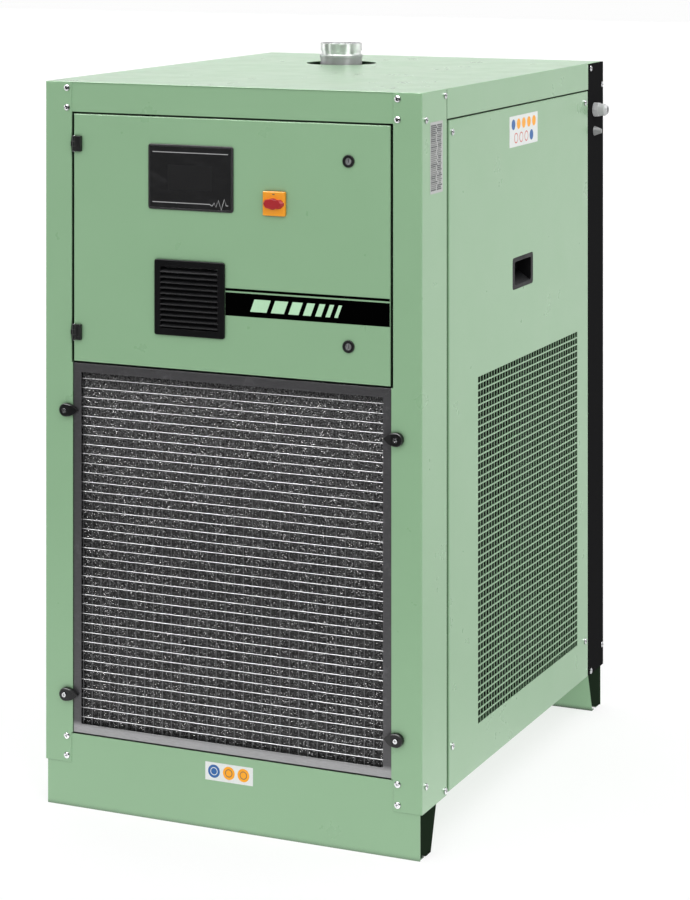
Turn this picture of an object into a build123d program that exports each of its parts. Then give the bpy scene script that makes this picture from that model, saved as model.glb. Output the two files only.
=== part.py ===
"""Refrigerated air dryer: a free-standing sheet-metal cabinet with a hinged electrical door, a
pull-out air filter held by four turn knobs, a perforated side panel, and the refrigeration parts.

Frame: origin on the floor at the centre of the cabinet's footprint, front facing -Y, right side
facing +X, +Z up. Millimetres.
"""

import os
from math import sqrt

from build123d import *

os.makedirs("parts", exist_ok=True)

# ---------------------------------------------------------------- driving dimensions

width = 790
depth = 1030
roof_height = 1400
sheet = 1.5
bend_radius = 2.5

right = width / 2
front = -depth / 2
rear = depth / 2
inner_side = right - sheet

# front face: two corner columns, a header on top, the door, the filter and the kick plate
column_face_width = 58
filter_jamb = 2.6
column_side_depth = 122.5
column_bottom = 85
column_inner = right - column_face_width
recess = sheet + 0.1
recessed_front = front + recess
opening_half = column_inner
rebate_depth = 30.5
rebate_back = front + rebate_depth
rebate_lip = 20.5
header_bottom = 1342
filter_opening_bottom = 141

door_half = 332.3
door_bottom = 861
door_top = 1338.5
door_return = 20
door_lip = 12

filter_half = 333.8
filter_bottom = 144
filter_top = 857
filter_border = 17
filter_thickness = 25
filter_front = front + 2

# side face
panel_gap = 3
panel_front_gap = 10
panel_front = front + column_side_depth + panel_front_gap
panel_rear = front + 931.5
panel_bottom = 87.5
panel_top = 1340.5
panel_return = 15
roof_flange_bottom = panel_top + panel_gap
strip_front = front + 933
strip_bottom = 88
strip_top = roof_height - 2
roof_rear = front + 1012
cover_back = rear + 5

# perforated field of the right side panel: the real sheet has 39 x 48 square holes, drawn here
# as 13 x 16 openings of three by three holes each
hole_pitch_y = 14.9
hole_pitch_z = 13.9
hole_columns = 39
hole_rows = 48
holes_per_opening = 3
web = 3
field_centre_y = front + 572
field_centre_z = 504

# grip cups
grip_centre_y = front + 529.5
grip_centre_z = 1008
grip_length = 117
grip_height = 62
grip_depth = 32
grip_pocket_length = 93
grip_pocket_height = 46
grip_floor_rise = 20
grip_wall = 2

# feet: kick plates with floor lips, closed at their ends by tapered gussets
foot_half = 390.5
foot_lip = 24
foot_top = 104
foot_inner_toe = 50.5
foot_inner_heel = 84
anchor_x = 320
anchor_y = rear - recess - foot_lip / 2
anchor_hole_radius = 4.5
base_half_width = 374
base_half_depth = 507.5
base_height = 105

# M6 pan-head cabinet screws
screw_head_radius = 6
screw_head_height = 3.4
screw_shank_radius = 3
screw_length = 12
screw_hole_radius = 3.3
fastener_line = 347

# compressed-air pipe ends: 3-inch pipe with a cut groove for a clamp coupling
pipe_radius = 44.45
pipe_wall = 3.2
groove_seat = 15.9
groove_width = 8.0
groove_radius = 42.47
roof_stub_height = 43
inlet_x = -94
inlet_y = 216
roof_hole_radius = 75
stub_collar_radius = 46
stub_collar_length = 6
outlet_x = 94
outlet_z = 1010
rear_hole_radius = 56

# condensate outlet and cable entries
drain_x = -250
drain_z = 170
drain_tube_radius = 6
drain_end = rear + 22
drain_spigot = 14
gland_y = rear - 55
gland_z = 1298
gland_thread_radius = 12
gland_bore = 6.5
plug_z = 1252
plug_radius = 7

# running fits
fit_gap = 0.05


# ---------------------------------------------------------------- helpers


def middle(span):
    """Centre of a (low, high) span."""
    return (span[0] + span[1]) / 2


def block(x, y, z, mode=Mode.ADD):
    """Add a box that fills the three (low, high) spans to the part being built."""
    with Locations((middle(x), middle(y), middle(z))):
        Box(x[1] - x[0], y[1] - y[0], z[1] - z[0], mode=mode)


def disc(origin, outward, radius, length, mode=Mode.ADD):
    """Add a cylinder that starts at origin and runs along outward."""
    with Locations(Plane(origin=origin, z_dir=outward)):
        Cylinder(radius, length, align=(Align.CENTER, Align.CENTER, Align.MIN), mode=mode)


def punch(points, outward, radius=screw_hole_radius, reach=12):
    """Cut a round hole through the sheets near each point, along outward."""
    for point in points:
        with Locations(Plane(origin=point, z_dir=outward)):
            Cylinder(radius, 2 * reach, mode=Mode.SUBTRACT)


def both_sides(points):
    """The points and their mirror images in the YZ plane."""
    return [(side * x, y, z) for side in (-1, 1) for x, y, z in points]


def grooved_pipe(start, direction, length):
    """A 3-inch pipe that ends in a coupling groove at its far end."""
    seat = length - groove_seat
    with Locations(Plane(origin=start, z_dir=direction)):
        Cylinder(pipe_radius, length, align=(Align.CENTER, Align.CENTER, Align.MIN))
        with Locations((0, 0, seat - groove_width / 2)):
            Cylinder(pipe_radius + 1, groove_width, mode=Mode.SUBTRACT)
            Cylinder(groove_radius, groove_width)
        Cylinder(
            pipe_radius - pipe_wall,
            length,
            align=(Align.CENTER, Align.CENTER, Align.MIN),
            mode=Mode.SUBTRACT,
        )


# ---------------------------------------------------------------- fastener positions

front_screws = both_sides([(fastener_line, front, z) for z in (97.5, 135.4, 1350, 1388)])
column_side_screws = both_sides(
    [
        (right, front + 112.5, 1387.5),
        (right, front + 19, 1349),
        (right, front + 19, 132),
        (right, front + 112.5, 95.3),
    ]
)
panel_screws = both_sides([(right, front + y, z) for y in (148, 911.5) for z in (168, 1317)])
strip_screws = both_sides(
    [
        (right, front + 947, 1388),
        (right, front + 1021, 1349.5),
        (right, front + 1021, 133),
        (right, front + 947, 95.2),
    ]
)
back_screws = both_sides([(370, cover_back, z) for z in (110, 540, 960, 1375)])
knob_height_upper = 766
knob_height_lower = 217
knob_points = both_sides([(fastener_line, front, z) for z in (knob_height_lower, knob_height_upper)])


# ---------------------------------------------------------------- cabinet frame

# left front column: a folded sheet with front face, side face and an inner return; in the door
# and filter opening the return runs deeper and ends in a lip that stops the door and the filter
with BuildPart() as left_front_column:
    column_height = (column_bottom, roof_height - sheet)
    opening_height = (filter_opening_bottom + 1.5, header_bottom - 1)
    block((-right, -column_inner), (front, front + sheet), column_height)
    block((-right, -inner_side), (front, front + column_side_depth), column_height)
    block((-column_inner - sheet, -column_inner), (front, recessed_front), column_height)
    block((-column_inner - sheet, -column_inner), (front, rebate_back), opening_height)
    block((-column_inner, rebate_lip - column_inner), (rebate_back - sheet, rebate_back), opening_height)
    block(
        (-right, 20 - right),
        (front + column_side_depth - sheet, front + column_side_depth),
        column_height,
    )
    column_uprights = left_front_column.edges().filter_by(Axis.Z)
    fillet(
        column_uprights.filter_by_position(Axis.Y, front, front)
        + column_uprights.filter_by_position(Axis.X, -right, -right).sort_by(Axis.Y)[-1:],
        radius=bend_radius,
    )
    jamb_height = (opening_height[0], filter_top + 1.5)
    block((-column_inner, filter_jamb - column_inner), (front, rebate_back), jamb_height)
    block((-column_inner - bend_radius, -column_inner), (front, front + sheet), jamb_height)
    punch(front_screws, (0, -1, 0), reach=5)
    punch(knob_points, (0, -1, 0), reach=5)
    punch(column_side_screws, (1, 0, 0), reach=5)
left_front_column.part.label = "left_front_column"
export_step(left_front_column.part, "parts/left_front_column.step")

with BuildPart() as right_front_column:
    add(left_front_column.part.mirror(Plane.YZ))
right_front_column.part.label = "right_front_column"
export_step(right_front_column.part, "parts/right_front_column.step")

# header above the door: recessed front plate, a return under it and a stop lip
with BuildPart() as front_header:
    header_face = (recessed_front, recessed_front + sheet)
    header_return = (header_bottom, header_bottom + sheet)
    block((-foot_half, foot_half), header_face, (header_bottom, roof_height - sheet))
    block((1 - opening_half, opening_half - 1), (recessed_front, rebate_back), header_return)
    block(
        (rebate_lip - opening_half + 0.5, opening_half - rebate_lip - 0.5),
        (rebate_back - sheet, rebate_back),
        (header_bottom - 18, header_bottom + sheet),
    )
    punch(front_screws, (0, -1, 0), reach=9)
front_header.part.label = "front_header"
export_step(front_header.part, "parts/front_header.step")

# cross rail behind the gap between the door and the filter
with BuildPart() as middle_rail:
    rail_span = (rebate_lip - opening_half + 0.5, opening_half - rebate_lip - 0.5)
    block(rail_span, (rebate_back - sheet, rebate_back), (845, 873))
    block(rail_span, (rebate_back - sheet, rebate_back + 18), (873, 873 + sheet))
middle_rail.part.label = "middle_rail"
export_step(middle_rail.part, "parts/middle_rail.step")

# two rear corner posts inside the rear cover
with BuildPart() as rear_posts:
    post_height = (strip_bottom, strip_top - 3)
    for side in (-1, 1):
        outer = side * (inner_side - 1)
        block(tuple(sorted((outer, outer - side * 2))), (cover_back - 92, cover_back - 2), post_height)
        block(tuple(sorted((outer, outer - side * 42))), (cover_back - 4, cover_back - 2), post_height)
    punch(strip_screws, (1, 0, 0), reach=14)
    punch(back_screws, (0, 1, 0), reach=14)
    punch([(right, gland_y, gland_z)], (1, 0, 0), radius=gland_thread_radius + 0.4, reach=20)
    punch([(right, gland_y, plug_z)], (1, 0, 0), radius=plug_radius + 0.3, reach=20)
rear_posts.part.label = "rear_posts"
export_step(rear_posts.part, "parts/rear_posts.step")

# base pan with a raised edge
with BuildPart() as base_pan:
    pan_y = (-base_half_depth, base_half_depth)
    block((-base_half_width, base_half_width), pan_y, (base_height, base_height + 27))
    block(
        (2 - base_half_width, base_half_width - 2),
        (2 - base_half_depth, base_half_depth - 2),
        (base_height + 2, base_height + 30),
        mode=Mode.SUBTRACT,
    )
    punch(back_screws, (0, 1, 0), reach=14)
base_pan.part.label = "base_pan"
export_step(base_pan.part, "parts/base_pan.step")



def foot_inner_plate(end):
    """Sloping sheet that closes a foot towards the middle, folded outwards at the floor."""
    kick_face = end * (rear - recess - sheet)
    toe = kick_face - end * foot_inner_toe
    heel = kick_face - end * foot_inner_heel
    half_width = foot_half - sheet - 0.1
    with BuildSketch(Plane.YZ.offset(-half_width)) as profile:
        with BuildLine():
            Polyline(
                (toe, 0),
                (toe + end * foot_lip / 2, 0),
                (toe + end * foot_lip / 2, sheet),
                (toe + end * sheet, sheet),
                (heel + end * sheet, foot_top),
                (heel, foot_top),
                close=True,
            )
        make_face()
    return extrude(profile.sketch, amount=2 * half_width)


# front kick plate: full width, folded in at the floor, with a return and stop lip at its top
with BuildPart() as front_kick_plate:
    block((-foot_half, foot_half), (recessed_front, recessed_front + sheet), (0, filter_opening_bottom))
    block((2 - foot_half, foot_half - 2), (recessed_front, recessed_front + foot_lip), (0, sheet))
    add(foot_inner_plate(-1))
    block(
        (1 - opening_half, opening_half - 1),
        (recessed_front, rebate_back),
        (filter_opening_bottom - sheet, filter_opening_bottom),
    )
    block(
        (rebate_lip - opening_half + 0.5, opening_half - rebate_lip - 0.5),
        (rebate_back - sheet, rebate_back),
        (filter_opening_bottom - sheet, filter_opening_bottom + 18),
    )
    punch(front_screws, (0, -1, 0), reach=9)
    punch(both_sides([(anchor_x, -anchor_y, 0)]), (0, 0, 1), radius=anchor_hole_radius, reach=5)
front_kick_plate.part.label = "front_kick_plate"
export_step(front_kick_plate.part, "parts/front_kick_plate.step")

with BuildPart() as rear_kick_plate:
    rear_plane = rear - recess
    block((-foot_half, foot_half), (rear_plane - sheet, rear_plane), (0, foot_top))
    block((2 - foot_half, foot_half - 2), (rear_plane - foot_lip, rear_plane), (0, sheet))
    add(foot_inner_plate(1))
    punch(both_sides([(anchor_x, anchor_y, 0)]), (0, 0, 1), radius=anchor_hole_radius, reach=5)
    punch(strip_screws, (1, 0, 0), radius=screw_hole_radius + 1, reach=14)
rear_kick_plate.part.label = "rear_kick_plate"
export_step(rear_kick_plate.part, "parts/rear_kick_plate.step")

# four tapered gussets that close the ends of the feet: (distance behind the kick plate, height)
gusset_outlines = {
    -1: ((0, foot_top), (0, 10), (27, 0.8), (50, 0.8), (foot_inner_heel, foot_top)),
    1: ((0, foot_top), (0, 2), (26, 4), (52, 12), (foot_inner_heel, foot_top)),
}
with BuildPart() as foot_gussets:
    for side in (-1, 1):
        with BuildSketch(Plane.YZ.offset(side * (foot_half - sheet / 2))):
            for end, outline in gusset_outlines.items():
                plate_face = end * (rear - recess - sheet)
                with BuildLine():
                    Polyline([(plate_face - end * inset, z) for inset, z in outline], close=True)
                make_face()
        extrude(amount=sheet / 2, both=True)
    punch(strip_screws, (1, 0, 0), reach=14)
foot_gussets.part.label = "foot_gussets"
export_step(foot_gussets.part, "parts/foot_gussets.step")


# ---------------------------------------------------------------- outer covers

# roof: top sheet over the whole cabinet, side flanges above the side panels, pipe hole
with BuildPart() as roof_panel:
    block((-right, right), (front, roof_rear), (roof_height - sheet, roof_height))
    for side in (-1, 1):
        flange = tuple(sorted((side * inner_side, side * right)))
        block(flange, (front + column_side_depth + 0.5, strip_front - 0.5), (roof_flange_bottom, roof_height))
    block((20 - right, right - 20), (roof_rear - sheet, roof_rear), (roof_height - 22, roof_height))
    fillet(roof_panel.faces().sort_by(Axis.Z)[-1].edges(), radius=0.8 * sheet)
    punch([(inlet_x, inlet_y, roof_height)], (0, 0, 1), radius=roof_hole_radius)
roof_panel.part.label = "roof_panel"
export_step(roof_panel.part, "parts/roof_panel.step")


# side panel: flat sheet with its four edges folded inwards and a hole for the grip cup
with BuildPart() as plain_side_panel:
    block((right - panel_return, right), (panel_front, panel_rear), (panel_bottom, panel_top))
    fillet(plain_side_panel.faces().sort_by(Axis.X)[-1].edges(), radius=bend_radius)
    block(
        (right - panel_return, inner_side),
        (panel_front + sheet, panel_rear - sheet),
        (panel_bottom + sheet, panel_top - sheet),
        mode=Mode.SUBTRACT,
    )
    with BuildSketch(Plane.YZ.offset(right + 1)):
        with Locations((grip_centre_y, grip_centre_z)):
            RectangleRounded(grip_length + 1, grip_height + 1, 6.5)
    extrude(amount=-panel_return, mode=Mode.SUBTRACT)
    punch(panel_screws, (1, 0, 0), reach=5)

with BuildPart() as left_side_panel:
    add(plain_side_panel.part.mirror(Plane.YZ))
left_side_panel.part.label = "left_side_panel"
export_step(left_side_panel.part, "parts/left_side_panel.step")

with BuildPart() as right_side_panel:
    add(plain_side_panel.part)
    opening_pitch_y = holes_per_opening * hole_pitch_y
    opening_pitch_z = holes_per_opening * hole_pitch_z
    with BuildSketch(Plane.YZ.offset(right + 1)):
        with Locations((field_centre_y, field_centre_z)):
            with GridLocations(
                opening_pitch_y,
                opening_pitch_z,
                hole_columns // holes_per_opening,
                hole_rows // holes_per_opening,
            ):
                Rectangle(opening_pitch_y - web, opening_pitch_z - web)
    extrude(amount=-panel_return, mode=Mode.SUBTRACT)
right_side_panel.part.label = "right_side_panel"
export_step(right_side_panel.part, "parts/right_side_panel.step")

# moulded grip cups behind the holes of both side panels
with BuildPart() as right_grip_cup:
    grip_centre = (grip_centre_y, grip_centre_z)
    with BuildSketch(Plane.YZ.offset(right)):
        with Locations(grip_centre):
            RectangleRounded(grip_length, grip_height, 6)
    extrude(amount=-3)
    with BuildSketch(Plane.YZ.offset(inner_side - 0.2)):
        with Locations(grip_centre):
            RectangleRounded(grip_length + 14, grip_height + 14, 10)
    extrude(amount=-2)
    with BuildSketch(Plane.YZ.offset(right)):
        with Locations(grip_centre):
            RectangleRounded(grip_pocket_length + 2 * grip_wall, grip_pocket_height + 2 * grip_wall, 6)
    extrude(amount=-grip_depth)
    with BuildSketch(Plane.YZ.offset(right)):
        with Locations(grip_centre):
            RectangleRounded(grip_pocket_length, grip_pocket_height, 4)
    extrude(amount=grip_wall - grip_depth, mode=Mode.SUBTRACT)
    pocket_floor = grip_centre_z - grip_pocket_height / 2
    pocket_start = grip_centre_y - grip_pocket_length / 2
    with BuildSketch(Plane.XZ.offset(-pocket_start)):
        with BuildLine():
            Polyline(
                (right - grip_wall, pocket_floor),
                (right - grip_depth + grip_wall / 2, pocket_floor + grip_floor_rise),
                (right - grip_depth + grip_wall / 2, pocket_floor),
                close=True,
            )
        make_face()
    extrude(amount=-grip_pocket_length)

with BuildPart() as side_grip_cups:
    add(right_grip_cup.part)
    add(right_grip_cup.part.mirror(Plane.YZ))
side_grip_cups.part.label = "side_grip_cups"
export_step(side_grip_cups.part, "parts/side_grip_cups.step")

# rear cover: back sheet with deep side returns that show as a dark strip on each side
with BuildPart() as rear_cover:
    cover_height = (strip_bottom, strip_top)
    block((-right, right), (cover_back - sheet, cover_back), cover_height)
    for side in (-1, 1):
        block(tuple(sorted((side * inner_side, side * right))), (strip_front + 0.5, cover_back), cover_height)
    block((-right, right), (roof_rear + 2, cover_back), (strip_top - sheet, strip_top))
    fillet(
        rear_cover.edges()
        .filter_by(Axis.X)
        .filter_by(lambda edge: edge.length < 2 * sheet and edge.center().Y < strip_front + 1),
        radius=4,
    )
    fillet(
        rear_cover.edges().filter_by(Axis.Z).filter_by_position(Axis.Y, cover_back, cover_back),
        radius=bend_radius,
    )
    punch(strip_screws, (1, 0, 0), reach=5)
    punch(back_screws, (0, 1, 0), reach=5)
    punch([(outlet_x, cover_back, outlet_z)], (0, 1, 0), radius=rear_hole_radius)
    punch([(drain_x, cover_back, drain_z)], (0, 1, 0), radius=drain_tube_radius + 8)
    punch([(right, gland_y, gland_z)], (1, 0, 0), radius=gland_thread_radius + 0.2)
    punch([(right, gland_y, plug_z)], (1, 0, 0), radius=plug_radius + 0.2)
rear_cover.part.label = "rear_cover"
export_step(rear_cover.part, "parts/rear_cover.step")

# all cabinet screws are copies of one M6 pan-head screw with a cross recess
with BuildPart() as pan_head_screw:
    head_rim = 0.6 * screw_head_height
    disc((0, 0, 0), (0, 0, 1), screw_head_radius, head_rim)
    with Locations((0, 0, (head_rim + screw_head_height) / 2)):
        Cone(screw_head_radius, 0.62 * screw_head_radius, screw_head_height - head_rim)
    disc((0, 0, 0), (0, 0, -1), screw_shank_radius, screw_length)
    for arm in ((3, 0.7), (0.7, 3)):
        recess_z = (screw_head_height - 1.6, screw_head_height)
        block((-arm[0], arm[0]), (-arm[1], arm[1]), recess_z, mode=Mode.SUBTRACT)

screw_seats = [Plane(origin=point, z_dir=(0, -1, 0)) for point in front_screws]
screw_seats += [
    Plane(origin=point, z_dir=(point[0], 0, 0)) for point in column_side_screws + panel_screws + strip_screws
]
screw_seats += [Plane(origin=point, z_dir=(0, 1, 0)) for point in back_screws]

with BuildPart() as cabinet_screws:
    add([pan_head_screw.part.moved(seat.location) for seat in screw_seats])
cabinet_screws.part.label = "cabinet_screws"
export_step(cabinet_screws.part, "parts/cabinet_screws.step")


# ---------------------------------------------------------------- air filter

# frame: four mitred channel bars, open towards the media
filter_height = filter_top - filter_bottom
filter_mid_z = (filter_top + filter_bottom) / 2
mitre_gap = 0.15


def channel_bar(half_length):
    """Bar of the filter frame in its own sketch plane: outer edge on y = 0, mitred ends."""
    with BuildPart() as bar:
        with BuildSketch():
            with BuildLine():
                Polyline(
                    (mitre_gap - half_length, 0),
                    (half_length - mitre_gap, 0),
                    (half_length - filter_border - mitre_gap, filter_border),
                    (filter_border + mitre_gap - half_length, filter_border),
                    close=True,
                )
            make_face()
        extrude(amount=filter_thickness)
        block(
            (-half_length, half_length),
            (sheet, filter_border),
            (sheet, filter_thickness - sheet),
            mode=Mode.SUBTRACT,
        )
    return bar.part


side_bar = channel_bar(filter_height / 2)
cross_bar = channel_bar(filter_half)
bar_back = filter_front + filter_thickness
with BuildPart() as filter_frame:
    bar_places = (
        (side_bar, (-filter_half, bar_back, filter_mid_z), (0, 0, -1)),
        (side_bar, (filter_half, bar_back, filter_mid_z), (0, 0, 1)),
        (cross_bar, (0, bar_back, filter_bottom), (1, 0, 0)),
        (cross_bar, (0, bar_back, filter_top), (-1, 0, 0)),
    )
    for bar, corner, along in bar_places:
        add(bar.moved(Plane(corner, x_dir=along, z_dir=(0, -1, 0)).location))
filter_frame.part.label = "filter_frame"
export_step(filter_frame.part, "parts/filter_frame.step")

# welded wire grid: horizontal wires in front, vertical wires just behind them
wire_radius = 1.0
wire_rows = 37
wire_columns = 34
wire_row_pitch = 18.15
wire_column_pitch = 19.1
wire_plane = filter_front + 4
wire_span_x = 2 * (filter_half - 0.75 * filter_border)
wire_span_z = filter_height - 1.5 * filter_border
with BuildPart() as filter_wire_grid:
    with BuildSketch(Plane.YZ.offset(-wire_span_x / 2)):
        with Locations((wire_plane, filter_mid_z)):
            with GridLocations(1, wire_row_pitch, 1, wire_rows):
                Circle(wire_radius)
    extrude(amount=wire_span_x)
    with BuildSketch(Plane.XY.offset(filter_mid_z - wire_span_z / 2)):
        with Locations((0, wire_plane + 2 * wire_radius + 0.05)):
            with GridLocations(wire_column_pitch, 1, wire_columns, 1):
                Circle(wire_radius)
    extrude(amount=wire_span_z)
filter_wire_grid.part.label = "filter_wire_grid"
export_step(filter_wire_grid.part, "parts/filter_wire_grid.step")

# pad of knitted metal wool held in the channels
with BuildPart() as filter_wool:
    block(
        (0.6 * filter_border - filter_half, filter_half - 0.6 * filter_border),
        (wire_plane + 3 * wire_radius + 0.5, filter_front + filter_thickness - 2),
        (filter_bottom + 0.6 * filter_border, filter_top - 0.6 * filter_border),
    )
filter_wool.part.label = "filter_wool"
export_step(filter_wool.part, "parts/filter_wool.step")

# egg-shaped turn knob: a round end on its screw and a tip that reaches over the filter frame
knob_radius = 12.4
knob_reach = 26
knob_thickness = 10
knob_tip_thickness = 5
knob_clearance = 0.4
knob_bore = screw_shank_radius + fit_gap
knob_back = front - knob_clearance
knob_face = knob_back - knob_thickness
with BuildPart() as knob_shape:
    side_radius = (knob_reach**2 + knob_radius**2) / (2 * knob_radius)
    side_x = knob_reach / 2
    side_z = sqrt(side_radius**2 - side_x**2) - side_radius + knob_radius
    with BuildSketch(Plane.XZ.offset(-knob_back)):
        with BuildLine():
            ThreePointArc((0, knob_radius), (-knob_radius, 0), (0, -knob_radius))
            ThreePointArc((0, -knob_radius), (side_x, -side_z), (knob_reach, 0))
            ThreePointArc((knob_reach, 0), (side_x, side_z), (0, knob_radius))
        make_face()
    extrude(amount=knob_thickness)
    with BuildSketch(Plane.XY.offset(-knob_radius - 1)):
        with BuildLine():
            Polyline(
                (knob_radius / 2, knob_face - 1),
                (knob_reach + 1, knob_back - knob_tip_thickness),
                (knob_reach + 1, knob_face - 1),
                close=True,
            )
        make_face()
    extrude(amount=2 * knob_radius + 2, mode=Mode.SUBTRACT)
    chamfer(knob_shape.faces().sort_by(Axis.Y)[0].edges(), length=1.2)
    disc((0, knob_back + 1, 0), (0, -1, 0), knob_bore, knob_thickness + 2, mode=Mode.SUBTRACT)

with BuildPart() as filter_knob_lower_left:
    add(knob_shape.part.moved(Location((-fastener_line, 0, knob_height_lower))))
filter_knob_lower_left.part.label = "filter_knob_lower_left"
export_step(filter_knob_lower_left.part, "parts/filter_knob_lower_left.step")

with BuildPart() as filter_knob_upper_left:
    add(knob_shape.part.moved(Location((-fastener_line, 0, knob_height_upper))))
filter_knob_upper_left.part.label = "filter_knob_upper_left"
export_step(filter_knob_upper_left.part, "parts/filter_knob_upper_left.step")

with BuildPart() as filter_knob_lower_right:
    add(filter_knob_lower_left.part.mirror(Plane.YZ))
filter_knob_lower_right.part.label = "filter_knob_lower_right"
export_step(filter_knob_lower_right.part, "parts/filter_knob_lower_right.step")

with BuildPart() as filter_knob_upper_right:
    add(filter_knob_upper_left.part.mirror(Plane.YZ))
filter_knob_upper_right.part.label = "filter_knob_upper_right"
export_step(filter_knob_upper_right.part, "parts/filter_knob_upper_right.step")

# shouldered screws that the knobs turn on
knob_screw_head = 4.3
knob_screw_head_height = 2.4
knob_screw_grip = 10
with BuildPart() as knob_screw_shape:
    disc((0, -knob_clearance, 0), (0, 1, 0), screw_hole_radius + 2, knob_clearance)
    head_seat = -2 * knob_clearance - knob_thickness
    shank_length = knob_screw_grip + 1 - head_seat
    disc((0, knob_screw_grip, 0), (0, -1, 0), screw_shank_radius, shank_length)
    disc((0, head_seat, 0), (0, -1, 0), knob_screw_head, knob_screw_head_height)
    for arm in ((2.6, 0.6), (0.6, 2.6)):
        recess_depth = (head_seat - knob_screw_head_height, head_seat - 1)
        block((-arm[0], arm[0]), recess_depth, (-arm[1], arm[1]), mode=Mode.SUBTRACT)

with BuildPart() as knob_screws:
    add([knob_screw_shape.part.moved(Location(point)) for point in knob_points])
knob_screws.part.label = "knob_screws"
export_step(knob_screws.part, "parts/knob_screws.step")


# ---------------------------------------------------------------- door

display_x = (-168, 12)
display_z = (1163, 1287)
display_proud = 3
display_window = 4

switch_x = 98.5
switch_z = 1185
switch_size = 45.5
switch_plate_thickness = 7
switch_hub_radius = 10.5
switch_grip_height = 7

vent_x = (-154, -6)
vent_z = (925, 1068)
vent_proud = 5
vent_slats = 11
vent_slat_pitch = 10.3
vent_slat_length = 121
vent_frame_depth = 16
vent_slat_depth = 12
vent_slat_tilt = 38

lock_x = 249
lock_heights = (928.5, 1270)
lock_flange_radius = 11.5
lock_barrel_radius = 9.5
lock_spindle_radius = 6.5
lock_cam_reach = 50
lock_cam_front = rebate_back + 0.7

hinge_axis_x = -328.8
hinge_axis_y = front - 4.6
hinge_heights = (917.5, 1281)
hinge_height = 29
hinge_leaf_width = 14.6
hinge_leaf_thickness = 6.5
hinge_neck_x = 1.7 - column_inner
hinge_neck_sheet = 1.8
hinge_knuckle = 4
hinge_pin_radius = 1.8

# door: folded tray with an inner lip that carries the seal
with BuildPart() as door_panel:
    block((-door_half, door_half), (front, front + door_return), (door_bottom, door_top))
    fillet(door_panel.faces().sort_by(Axis.Y)[0].edges(), radius=bend_radius)
    block(
        (sheet - door_half, door_half - sheet),
        (front + sheet, front + door_return - sheet),
        (door_bottom + sheet, door_top - sheet),
        mode=Mode.SUBTRACT,
    )
    block(
        (door_lip - door_half, door_half - door_lip),
        (front + sheet, front + door_return),
        (door_bottom + door_lip, door_top - door_lip),
        mode=Mode.SUBTRACT,
    )
    block(
        (display_x[0] + 6, display_x[1] - 6),
        (front - 1, front + 3),
        (display_z[0] + 6, display_z[1] - 6),
        mode=Mode.SUBTRACT,
    )
    block(
        (vent_x[0] + 10, vent_x[1] - 10),
        (front - 1, front + 3),
        (vent_z[0] + 10, vent_z[1] - 10),
        mode=Mode.SUBTRACT,
    )
    punch([(switch_x, front, switch_z)], (0, 1, 0), radius=12, reach=4)
    punch([(lock_x, front, z) for z in lock_heights], (0, 1, 0), radius=lock_barrel_radius + 0.2, reach=4)
door_panel.part.label = "door_panel"
export_step(door_panel.part, "parts/door_panel.step")

with BuildPart() as door_seal:
    seal_span_y = (front + door_return, rebate_back - sheet - 0.5)
    block((2 - door_half, door_half - 2), seal_span_y, (door_bottom + 2, door_top - 2))
    seal_hole_z = (door_bottom + 12, door_top - 12)
    block((12 - door_half, door_half - 12), seal_span_y, seal_hole_z, mode=Mode.SUBTRACT)
door_seal.part.label = "door_seal"
export_step(door_seal.part, "parts/door_seal.step")

# hinges: a narrow neck of the frame leaf runs through the gap beside the door to the middle knuckle
with BuildPart() as frame_hinge_leaves:
    third = hinge_height / 3
    neck_x = (hinge_neck_x, hinge_neck_x + hinge_neck_sheet)
    for z in hinge_heights:
        middle_third = (z - third / 2 + 0.2, z + third / 2 - 0.2)
        with Locations((hinge_axis_x, hinge_axis_y, z)):
            Cylinder(hinge_knuckle, third - 0.4)
        block(neck_x, (hinge_axis_y - 2, front + 1), middle_third)
        block((hinge_neck_x, hinge_axis_x), (hinge_axis_y - 2, hinge_axis_y + 2), middle_third)
        block(
            (-column_inner, hinge_neck_x + hinge_neck_sheet),
            (front + 1, front + 18),
            (z - hinge_height / 2, z + hinge_height / 2),
        )
        with Locations((hinge_axis_x, hinge_axis_y, z)):
            Cylinder(hinge_pin_radius + fit_gap, third, mode=Mode.SUBTRACT)
frame_hinge_leaves.part.label = "frame_hinge_leaves"
export_step(frame_hinge_leaves.part, "parts/frame_hinge_leaves.step")

with BuildPart() as door_hinge_leaves:
    for z in hinge_heights:
        leaf_x = (hinge_axis_x, hinge_axis_x + hinge_leaf_width)
        leaf_face = front - hinge_leaf_thickness
        block(leaf_x, (leaf_face, front), (z - hinge_height / 2, z + hinge_height / 2))
        block((leaf_x[1] - 8, leaf_x[1] - 4), (leaf_face, leaf_face + 1), (z - 8, z + 8), mode=Mode.SUBTRACT)
        with Locations((hinge_axis_x, hinge_axis_y, z)):
            Cylinder(hinge_knuckle, hinge_height)
            Cylinder(hinge_knuckle + 0.5, hinge_height / 3, mode=Mode.SUBTRACT)
            Cylinder(hinge_pin_radius + fit_gap, hinge_height + 1, mode=Mode.SUBTRACT)
door_hinge_leaves.part.label = "door_hinge_leaves"
export_step(door_hinge_leaves.part, "parts/door_hinge_leaves.step")

with BuildPart() as hinge_pins:
    with Locations(*[(hinge_axis_x, hinge_axis_y, z) for z in hinge_heights]):
        Cylinder(hinge_pin_radius, hinge_height)
    for z in hinge_heights:
        for end in (-1, 1):
            disc(
                (hinge_axis_x, hinge_axis_y, z + end * (hinge_height / 2 + 0.1)),
                (0, 0, end),
                hinge_pin_radius + 1,
                1.2,
            )
            disc(
                (hinge_axis_x, hinge_axis_y, z + end * hinge_height / 2),
                (0, 0, end),
                hinge_pin_radius,
                0.2,
            )
hinge_pins.part.label = "hinge_pins"
export_step(hinge_pins.part, "parts/hinge_pins.step")

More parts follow.
